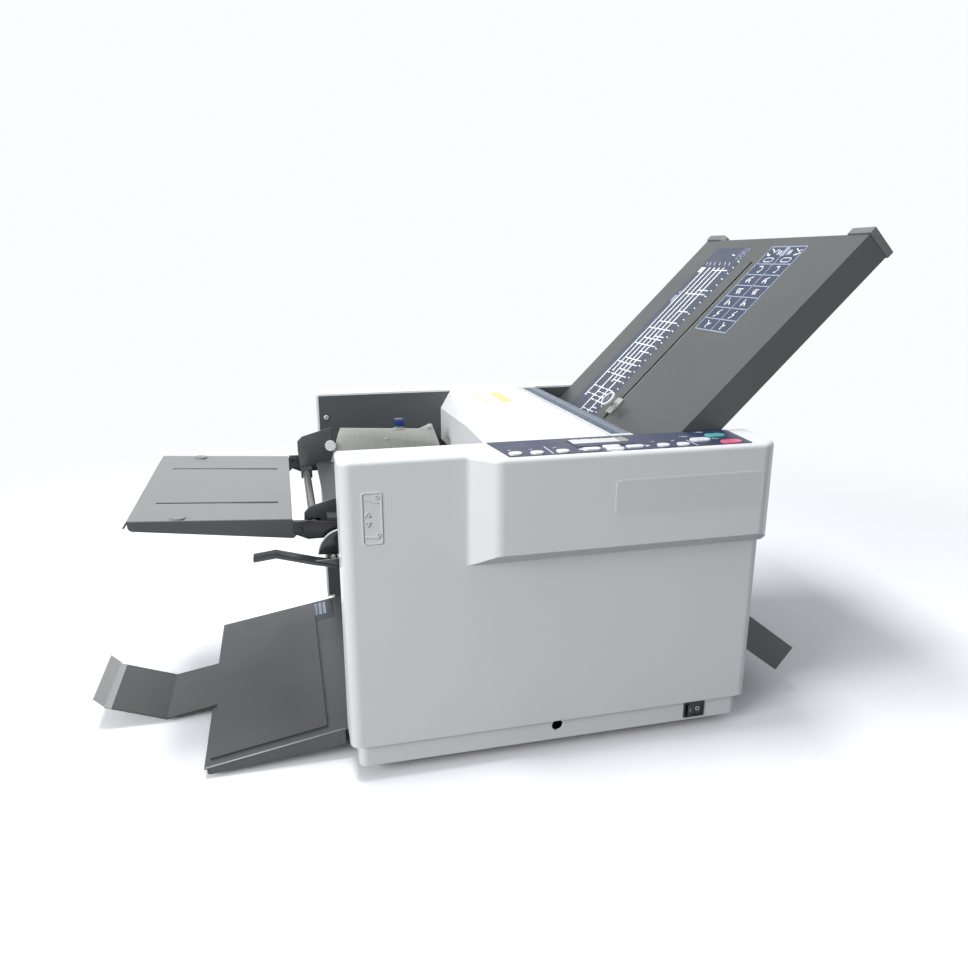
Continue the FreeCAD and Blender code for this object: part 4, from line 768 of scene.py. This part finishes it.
def corner_caps():
    caps = Build()
    for outer, inner in ((PLATE_FRONT - 2.0, PLATE_FRONT + CAP_LENGTH),
                         (PLATE_REAR + 2.0, PLATE_REAR - CAP_LENGTH)):
        bevel = CAP_BEVEL if inner > outer else -CAP_BEVEL
        section = [(-outer, CAP_PROUD), (-inner + bevel, CAP_PROUD), (-inner, CAP_PROUD - CAP_BEVEL),
                   (-inner, -CAP_DROP), (-outer, -CAP_DROP)]
        section = rounded_outline(section, [1.5, 2.0, 2.0, 0.5, 1.5])
        caps.slab([plate_face.point(-CAP_REACH, v, n) for v, n in section],
                  [plate_face.point(-0.3, v, n) for v, n in section], 1.2)
    caps.finish("corner_caps", "cap_grey", "fold_plate_1", "fold_plate_1_caps")


KNOB_DOWN, KNOB_Y, KNOB_TOP = 309.0, 235.0, 17.0


def turned(profile, axis_face, steps=48):
    """Closed turned mesh from a profile of radius and height."""
    part = bmesh.new()
    rings = [[part.verts.new(axis_face.point(u, v, height)) for u, v in circle(radius, steps)]
             for radius, height in profile]
    for lower, upper in zip(rings, rings[1:]):
        for quad in quads(lower, upper):
            part.faces.new(quad)
    part.faces.new(rings[0])
    part.faces.new(rings[-1])
    return part


def plate_knob():
    axis = Face(plate_face.point(KNOB_DOWN, -KNOB_Y), plate_face.u, plate_face.v)
    knob, top = Build(), KNOB_TOP
    knob.take(turned([
        (3.4, 0.2), (3.4, top - 9.0), (6.5, top - 8.4), (9.8, top - 6.0), (11.3, top - 3.0), (11.6, top - 1.4),
        (11.3, top - 0.4), (10.6, top), (9.4, top - 0.1), (9.0, top - 0.6)], axis))
    knob.finish("plate_knob", "knob_white", "stop_knob_1", "stop_knob_1")


# Feet under the base, far enough in to stay in its shadow
FOOT_HEIGHT, FOOT_RADIUS = 14.0, 14.0


def rubber_feet():
    feet = Build()
    for x in (40.0, 430.0):
        for y in (62.0, 403.0):
            feet.rod((x, y, 0.0), (x, y, FOOT_HEIGHT), FOOT_RADIUS, 40, 1.0)
    feet.finish("rubber_feet", "foot_rubber", "chassis", "feet")


rubber_feet()
feed_arms()
paper_guides()
feed_lever()
corner_caps()
plate_knob()


def film(name, face, high, sides, finish_name, body="chassis"):
    """Rectangle of film on a face."""
    slab = Print(face, 0.02, high)
    slab.rectangle(*sides)
    slab.finish(name, finish_name, body)


# Bare name film and raised paper symbol on the front housing
def name_film():
    left, right, bottom, top, corner = 278.5, 448.5, 289.5, 328.7, 6.0
    badge = Print(bulge_face, 0.02, 0.35)
    badge.rounded(left, right, bottom, top, corner)
    badge.finish("name_film", "badge_film")
    # Thin lighter frame round the clear film's edge: a painted highlight.
    edge = Print(bulge_face, 0.35, 0.4)
    edge.frame_line(left + 0.4, right - 0.4, bottom + 0.4, top - 0.4, corner, 0.6)
    edge.finish("name_film_edge_highlight", "badge_edge")


def symbol_lines(relief, across, up):
    """Frame, two bars with rollers and two arrows of the raised symbol, moved by across and up."""
    left, right, bottom, top = 21.3 + across, 41.5 + across, 272.0 + up, 326.0 + up
    relief.frame_line(left, right, bottom, top, 3.0, 1.1)
    relief.path([(left + 2.6, top - 7.0), (right - 4.2, top - 11.0)], 1.5)
    relief.arc(right - 5.0, top - 5.0, 1.7, 1.0)
    relief.path([(left + 2.6, bottom + 8.0), (right - 3.6, bottom + 6.6)], 1.5)
    relief.arc(right - 4.4, bottom + 9.6, 1.7, 1.0)
    column, arrow = left + 5.6, 2.7
    for tip, away in ((bottom + 33.5, -1), (bottom + 19.0, 1)):
        relief.path([(column - arrow, tip + away * 4.2), (column, tip), (column + arrow, tip + away * 4.2),
                     (column - arrow, tip + away * 4.2)], 0.9)


def raised_symbol():
    # Darker copy of the symbol, moved right and down under the relief: a painted shadow.
    shade = Print(front_face, 0.02, 0.12)
    symbol_lines(shade, 0.75, -0.75)
    shade.finish("symbol_painted_shadow", "relief_shade")
    relief = Print(front_face, 0.02, 0.7)
    symbol_lines(relief, 0.0, 0.0)
    relief.finish("raised_symbol", "housing_white")


# Legends and window of the control panel
def panel_legends():
    white = Print(panel_face, 0.02, 0.1)
    for x, back, front in ((213.0, 14.5, -17.0), (371.6, 8.0, -18.5)):
        white.line((x, back), (x, front), 1.1)
    for x, y in ((172.5, 8.0), (195.5, 7.0), (221.5, 8.0)):
        white.path([(x - 2.2, y - 1.6), (x + 2.0, y - 1.6), (x + 2.0, y + 1.8)], 0.6)
        white.line((x - 1.0, y), (x + 0.8, y), 0.6)
    white.polygon([(248.0, -2.0), (243.0, -6.0), (248.0, -10.0)])
    white.polygon([(317.6, -3.0), (322.6, -7.0), (317.6, -11.0)])
    for x, y in ((333.0, 9.5), (355.5, 8.5)):
        white.line((x - 2.2, y), (x + 2.2, y), 0.8)
    white.line((355.5, 6.3), (355.5, 10.7), 0.8)
    for x, y in ((377.5, 24.5), (404.0, 40.5), (405.0, 7.5)):
        white.arc(x, y, 2.3, 0.7, 40, 320)
        white.line((x + 1.6, y + 1.2), (x + 4.4, y - 1.6), 0.7)
        white.line((x - 5.6, y - 0.4), (x - 3.6, y + 1.6), 0.7)
    for start, end in ((252.0, 259.0), (262.0, 272.0), (276.5, 281.0), (286.0, 288.0), (299.0, 303.0),
                       (305.5, 312.0)):
        white.rectangle(start, end, 38.4, 39.4)
    white.finish("panel_legends", "print_white")
    rim = Build()
    rim.box(244.8, 311.6, 27.0, 36.4, 357.4, WINDOW_TOP)
    rim.finish("display_rim", "panel_navy")
    film("display_strip", window_face, 0.08, (246.6, 300.0, 17.4, 35.6), "display_pale")
    strip = Print(window_face, 0.02, 0.08)
    strip.polygon([(300.4, 17.4), (308.0, 17.4), (311.0, 21.0), (311.0, 32.0), (308.0, 35.6), (300.4, 35.6)])
    strip.finish("display_end", "display_khaki")


# Scale and fold chart on fold plate 1
LINE_STARTS, TICK_LEAN = 54.5, -15.7
SCALE_LINES = ((-344.0, 310.0), (-330.5, 259.0), (-317.5, 366.0), (-304.5, 276.0), (-292.0, 366.0))
# Place of each cross line down the scale, and the long line at which it starts.
CROSS_LINES = (
    (60.0, 2), (98.4, 3), (106.0, 1), (139.0, 3), (160.6, 1), (174.4, 0), (187.6, 3), (193.0, 1), (205.0, 0),
    (217.0, 3), (232.6, 1), (241.6, 0), (253.0, 2), (263.6, 0), (272.4, 3), (290.4, 0), (298.0, 2), (305.0, 0),
    (312.4, 2), (323.0, 4), (329.4, 2), (341.0, 2), (349.0, 4), (357.0, 2),
)
CHART_COLUMNS = (16.4, 33.0, 47.0, 66.0, 85.0, 104.6, 124.0, 143.6, 163.0)
CHART_ROWS = (-221.0, -182.5, -145.5)


def plate_print():
    film("scale_sheet", plate_face, 0.08, (16.6, 366.0, -361.5, -265.4), "scale_film", "fold_plate_1")
    white = Print(plate_face, 0.08, 0.13)
    for v, end in SCALE_LINES:
        white.rectangle(LINE_STARTS, end, v - 1.7, v + 1.7)
        if end < 360.0:
            white.rectangle(end - 1.4, end + 0.6, v - 3.6, v - 1.7)
            white.rectangle(end - 1.4, end + 0.6, v + 1.7, v + 3.6)
    for u, first in CROSS_LINES:
        starts = [SCALE_LINES[index][0] + 1.7 for index in range(first, len(SCALE_LINES))]
        for start, end in zip(starts, [v - 1.7 for v, _ in SCALE_LINES[first + 1:]] + [-277.0]):
            white.rectangle(u - 0.9, u + 0.9, start, end)
    white.rectangle(LINE_STARTS, 64.5, -355.5, -345.7)
    for v in (-350.0, -340.5, -328.0, -314.0, -300.0, -288.0):
        white.polygon([(43.5, v - 2.4), (45.0, v - 2.4), (51.0, v + 2.6), (49.5, v + 2.6)])
    white.path([(29.4, -304.0), (31.0, -296.0), (31.4, -294.0)], 1.6)
    white.finish("scale_lines", "print_white", "fold_plate_1")
    lean = math.radians(TICK_LEAN)
    rows_of_blocks("scale_ticks", [
        (plate_face, 30, (43.3, -268.9, 0.105), (10.95, 0.0), (1.4, 5.4, 0.05), lean),
        (plate_face, 10, (43.0, -269.9, 0.105), (32.85, 0.0), (1.4, 7.4, 0.06), lean),
    ], "print_white", "fold_plate_1")
    pale = Print(plate_face, 0.08, 0.12)
    pale.polygon([(102.0, -354.0), (105.5, -354.0), (106.5, -348.0), (103.0, -348.0)])
    pale.polygon([(110.0, -356.0), (120.0, -356.0), (127.0, -347.6), (110.0, -347.6)])
    pale.frame_line(18.5, 38.5, -285.0, -268.5, 2.0, 0.9)
    pale.path([(21.5, -272.0), (26.0, -281.5), (27.5, -272.5), (32.0, -281.5), (35.0, -273.0)], 1.3)
    pale.finish("scale_marks", "print_pale", "fold_plate_1")


def fold_marks(chart, column, row):
    """A made-up fold diagram in one cell of the chart."""
    middle, centre = sum(CHART_COLUMNS[column:column + 2]) / 2, sum(CHART_ROWS[row:row + 2]) / 2
    shapes = (
        [(-4.5, -5.0), (-5.5, 2.0), (0.0, 5.5), (5.5, 3.0), (4.0, -1.0)],
        [(-5.5, 4.5), (-2.0, -4.5), (4.0, -5.5), (-1.5, 0.5), (5.0, 5.0)],
        [(-4.0, 5.5), (-3.0, -5.5), (5.0, -1.0), (-2.0, 2.0), (5.0, 5.5)],
        [(-6.5, -4.0), (5.5, -4.5), (-1.5, 0.5), (4.5, 6.5)],
        [(-6.0, 3.5), (0.0, -3.5), (1.0, 3.5), (7.0, -4.5)],
        [(-5.5, -4.5), (0.0, 0.5), (-1.5, 6.0), (2.5, -1.5), (6.5, 0.5)],
    )
    points = shapes[column - 2]
    if row == 1:
        points = [(u, v * 0.8 - 1.0) for u, v in points]
    chart.path([(middle + u, centre + v) for u, v in points], 1.7)


def chart_print():
    sides = (CHART_COLUMNS[0], CHART_COLUMNS[-1], CHART_ROWS[0], CHART_ROWS[-1])
    film("chart_cells", plate_face, 0.08, sides, "chart_navy", "fold_plate_1")
    rules = Print(plate_face, 0.08, 0.12)
    for u in CHART_COLUMNS[2:-1]:
        rules.rectangle(u - 0.8, u + 0.8, CHART_ROWS[0], CHART_ROWS[-1])
    rules.rectangle(CHART_COLUMNS[1], CHART_COLUMNS[-1], CHART_ROWS[1] - 0.8, CHART_ROWS[1] + 0.8)
    rules.rectangle(CHART_COLUMNS[0], CHART_COLUMNS[1], CHART_ROWS[1] - 4.0, CHART_ROWS[1] + 4.0)
    rules.frame_line(CHART_COLUMNS[0] - 0.8, CHART_COLUMNS[-1] + 0.8, CHART_ROWS[0] - 0.8, CHART_ROWS[-1] + 0.8,
                     1.5, 1.6)
    rules.finish("chart_rules", "chart_pale", "fold_plate_1")
    marks = Print(plate_face, 0.12, 0.16)
    for row in (0, 1):
        for column in range(2, len(CHART_COLUMNS) - 1):
            fold_marks(marks, column, row)
        middle = sum(CHART_ROWS[row:row + 2]) / 2
        marks.frame_line(35.8, 43.8, middle - 10.0, middle + 10.0, 3.8, 1.2)
    for width, points in (
            (2.4, [(28.0, -217.0), (31.5, -213.5), (31.5, -208.0)]),
            (1.4, [(20.0, -216.0), (23.0, -208.0), (27.0, -204.5), (21.0, -199.0)]),
            (1.5, [(22.0, -196.0), (31.0, -194.0), (23.0, -190.0), (31.0, -188.5)]),
            (1.5, [(22.0, -174.5), (31.0, -173.0), (22.0, -169.5), (31.0, -167.5)]),
            (1.4, [(20.0, -163.0), (25.0, -154.0), (22.0, -149.5)]),
            (2.4, [(31.5, -157.5), (30.0, -151.5), (26.5, -148.5)])):
        marks.path(points, width)
    marks.finish("chart_marks", "print_white", "fold_plate_1")


# Ruler on the cross strip and pale pads on the cover
def ruler_print():
    left, front, back = 306.6, 60.0, 405.0
    film("ruler_film", roof_face, 0.1, (left, 329.4, front, back), "ruler_blue")
    light = Print(roof_face, 0.1, 0.14)
    for x, width in ((left + 10.6, 0.7), (left + 13.4, 1.5), (left + 17.2, 1.0), (left + 20.4, 0.7)):
        light.rectangle(x, x + width, front, back)
    light.rectangle(left, left + 0.6, front, back)
    light.finish("ruler_lines", "ruler_pale")
    rows = []
    for count, across, along, step, width, length in (
            (34, 8.4, 5.5, 10.0, 4.0, 1.0), (17, 3.6, 5.5, 20.0, 3.2, 3.4), (34, 21.9, 9.5, 10.0, 1.4, 5.0)):
        first = (left + across, front + along, 0.12)
        rows.append((roof_face, count, first, (0.0, step), (width, length, 0.04), 0.0))
    rows_of_blocks("ruler_ticks", rows, "ruler_dark")


def roof_pads():
    film("cover_pad", roof_face, 0.14, (244.5, 259.5, 293.0, 372.0), "pad_orange", "top_cover")
    marks = Print(roof_face, 0.02, 0.1)
    for y in (361.0, 344.0, 327.0, 304.0):
        marks.rectangle(221.5, 226.0, y - 4.5, y + 4.5)
        marks.rectangle(226.0, 235.0, y - 1.2, y + 1.2)
    marks.finish("cover_marks", "pad_orange", "top_cover")


# Disc on the clamp knob of fold plate 1
def knob_disc():
    face = Face(plate_face.point(KNOB_DOWN, -KNOB_Y, KNOB_TOP - 0.6), plate_face.u, plate_face.v)
    disc = Print(face, 0.0, 0.25)
    disc.disc(0.0, 0.0, 8.8, 40)
    disc.finish("knob_disc", "chart_navy", "stop_knob_1")
    marks = Print(face, 0.27, 0.32)
    marks.arc(0.0, 0.0, 7.4, 0.7)
    marks.path([(-4.5, -2.6), (-1.5, -4.0), (0.5, -1.2), (4.6, -3.0)], 1.1)
    marks.path([(-4.6, 2.0), (-1.0, 0.6), (1.0, 3.4), (4.8, 1.0)], 1.1)
    marks.finish("knob_marks", "print_pale", "stop_knob_1")


# Label on the exit tray
def tray_label():
    film("tray_label", tray_face, 0.1, (tray_u(-25.0), tray_u(6.0), 345.0, 412.0), "label_dark")
    bars = Print(tray_face, 0.1, 0.14)
    for x in (-22.0, -15.6, -9.6):
        bars.rectangle(tray_u(x), tray_u(x + 4.4), 366.0, 408.0)
    bars.finish("tray_label_bars", "print_pale")


# Marks on the power rocker
def rocker_marks():
    left_end, middle, right_end = at(396.04, 3.32, 28.8), at(405.39, 6.24, 28.8), at(415.14, 5.33, 28.8)
    for name, start, end in (("left", left_end, middle), ("right", middle, right_end)):
        face = Face(start, end - start, (0, 0, 1))
        mark = Print(face, 0.01, 0.08)
        if name == "left":
            mark.rectangle(3.4, 4.3, -2.2, 2.2)
        else:
            mark.arc(4.2, 0.0, 2.1, 0.8)
        mark.finish("rocker_mark_" + name, "print_white", "power_rocker")


# Painted highlights: pale rods along bends and cut edges, where they would catch the light
def edge_rod(name, start, end, radius, finish_name, body="chassis"):
    start, end = at(*start), at(*end)
    run = end - start
    mesh = bmesh.new()
    bmesh.ops.create_cone(mesh, cap_ends=True, segments=10, radius1=radius * MM, radius2=radius * MM,
                          depth=run.length)
    turn = run.to_track_quat("Z", "Y").to_matrix().to_4x4()
    bmesh.ops.transform(mesh, matrix=Matrix.Translation((start + end) / 2) @ turn, verts=mesh.verts)
    data = made_mesh(name, mesh)
    for polygon in data.polygons:
        polygon.use_smooth = len(polygon.vertices) == 4
    add_object(name, data, finish_name, body)


def on_plate(down, y):
    """Place on fold plate 1 in the millimetres of the machine."""
    return tuple((plate_face.point(down, -y) - machine_zero) / MM)


def painted_highlight_edges():
    # Pale rods along the tray bend, the slot of fold plate 1 and the table slots: painted highlights.
    ends = [(x, 49.4, tray_z(x) - 0.3) for x in (-155.0, -3.0)]
    edge_rod("tray_bend", *ends, 0.7, "edge_pale")
    edge_rod("slot_edge", on_plate(44.0, 232.6), on_plate(344.0, 232.6), 0.35, "edge_pale", "fold_plate_1")
    for name, y in (("front", 151.0 - 3.6), ("rear", 308.0 - 3.6)):
        ends = [(x, y, table_z(x)) for x in (-189.5, -60.5)]
        edge_rod("table_slot_edge_" + name, *ends, 0.35, "edge_pale", "feed_table")


# White cap on the rear paper guide, and a painted highlight along the rim of the lever sector
def guide_cap():
    edge_rod("guide_cap", (12.0, 336.6, 299.2), (12.0, 340.2, 299.2), 7.4, "knob_white", "rear_guide")


def sector_rim_highlight():
    # Thin white band round the arc rim of the dark sector: a painted highlight.
    y0, y1 = LEVER_REAR - 0.1, SECTOR_REAR + 0.1
    inner, outer = (lever_arc(SECTOR_RADIUS + step, SECTOR_START, SECTOR_END, 20) for step in (-0.7, 0.25))
    mesh = bmesh.new()
    rings = [[mesh.verts.new(at(x, y, z)) for (x, z), y in ((low, y0), (high, y0), (high, y1), (low, y1))]
             for low, high in zip(inner, outer)]
    mesh.faces.new(rings[0])
    mesh.faces.new(rings[-1][::-1])
    for ring, after in zip(rings, rings[1:]):
        for quad in quads(after, ring):
            mesh.faces.new(quad)
    bmesh.ops.recalc_face_normals(mesh, faces=mesh.faces)
    add_object("sector_rim_highlight", made_mesh("sector_rim_highlight", mesh), "print_white", "feed_lever")


name_film()
raised_symbol()
panel_legends()
plate_print()
chart_print()
ruler_print()
roof_pads()
knob_disc()
tray_label()
rocker_marks()
painted_highlight_edges()
guide_cap()
sector_rim_highlight()


# Floor, backdrop, lights and camera
def seen_directly(paint):
    """One for the camera and for reflections, nothing for the light that is thrown about."""
    return paint.node("ShaderNodeLightPath", output="Is Camera Ray").math(
        "MAXIMUM", paint.node("ShaderNodeLightPath", output="Is Glossy Ray"))


def make_floor():
    """Pale floor: white to the camera where it is lit or far away, duller for the light it throws back."""
    plane = bmesh.new()
    bmesh.ops.create_grid(plane, x_segments=1, y_segments=1, size=FLOOR_SIZE)
    floor = put_in_scene("floor", made_mesh("floor", plane))
    paint = Paint("studio_floor")
    x, y, _ = paint.axes()
    away = paint.node("ShaderNodeMapRange", {"interpolation_type": "SMOOTHSTEP"}, {
        "Value": (x * x + y * y) ** 0.5, "From Min": FLOOR_FADE_START, "From Max": FLOOR_FADE_END})
    shown, lift, dull = (paint.node("ShaderNodeBsdfDiffuse", {}, {"Color": tone})
                         for tone in (FLOOR_SEEN, FLOOR_LIFT, FLOOR_BOUNCE))
    lifted = paint.node("ShaderNodeAddShader", {}, {0: shown, 1: lift})
    white = paint.node("ShaderNodeEmission", {}, {"Color": FAR_WHITE, "Strength": 1.0})
    near_and_far = paint.node("ShaderNodeMixShader", {}, {0: away, 1: lifted, 2: white})
    both = paint.node("ShaderNodeMixShader", {}, {0: seen_directly(paint), 1: dull, 2: near_and_far})
    paint.tree.links.new(both.link, paint.tree.nodes["Material Output"].inputs["Surface"])
    floor.data.materials.append(paint.owner)


def light_room():
    """Even light from all round, and white where the camera or a reflection looks past the floor."""
    world = Paint("studio", bpy.data.worlds)
    bpy.context.scene.world = world.owner
    light = world.node("ShaderNodeBackground", {}, {"Color": DAYLIGHT, "Strength": WORLD_STRENGTH})
    white = world.node("ShaderNodeBackground", {}, {"Color": FAR_WHITE, "Strength": 1.0})
    both = world.node("ShaderNodeMixShader", {}, {0: seen_directly(world), 1: light, 2: white})
    world.tree.links.new(both.link, world.tree.nodes["World Output"].inputs["Surface"])


def soft_box(name, place, target, size, power):
    lamp = bpy.data.lights.new(name, "AREA")
    lamp.shape = "RECTANGLE"
    lamp.size, lamp.size_y = size
    lamp.energy = power
    holder = put_in_scene(name, lamp)
    holder.location = place
    holder.rotation_euler = (Vector(target) - Vector(place)).to_track_quat("-Z", "Y").to_euler()


FLOOR_SIZE = 9.0
FLOOR_FADE_START, FLOOR_FADE_END = 0.75, 1.7
FLOOR_SEEN = (0.93, 0.94, 0.96, 1.0)
FLOOR_LIFT = (0.18, 0.19, 0.2, 1.0)
FLOOR_BOUNCE = (0.13, 0.135, 0.14, 1.0)
FAR_WHITE = (0.97, 0.98, 1.0, 1.0)
DAYLIGHT = (0.94, 0.97, 1.0, 1.0)
WORLD_STRENGTH = 0.45
make_floor()
light_room()
soft_box("overhead", (-0.35, 0.06, 2.3), (0.0, 0.0, 0.3), (1.0, 0.5), 36.0)
soft_box("left_front", (-2.4, -1.4, 1.15), (0.0, 0.0, 0.25), (1.4, 1.0), 56.0)

CAMERA_PLACE = at(-44.74, -756.79, 544.95)
CAMERA_AZIMUTH, CAMERA_ELEVATION = 14.09, -15.61
FOCAL_PIXELS, FRAME_PIXELS, SENSOR = 800.73, 968, 36.0
camera_data = bpy.data.cameras.new("camera")
camera_data.sensor_width = SENSOR
camera_data.lens = SENSOR * FOCAL_PIXELS / FRAME_PIXELS
camera = put_in_scene("camera", camera_data)
camera.location = CAMERA_PLACE
camera.rotation_euler = (math.radians(90 + CAMERA_ELEVATION), 0, math.radians(-CAMERA_AZIMUTH))
bpy.context.scene.camera = camera
bpy.context.scene.view_settings.view_transform = "Standard"
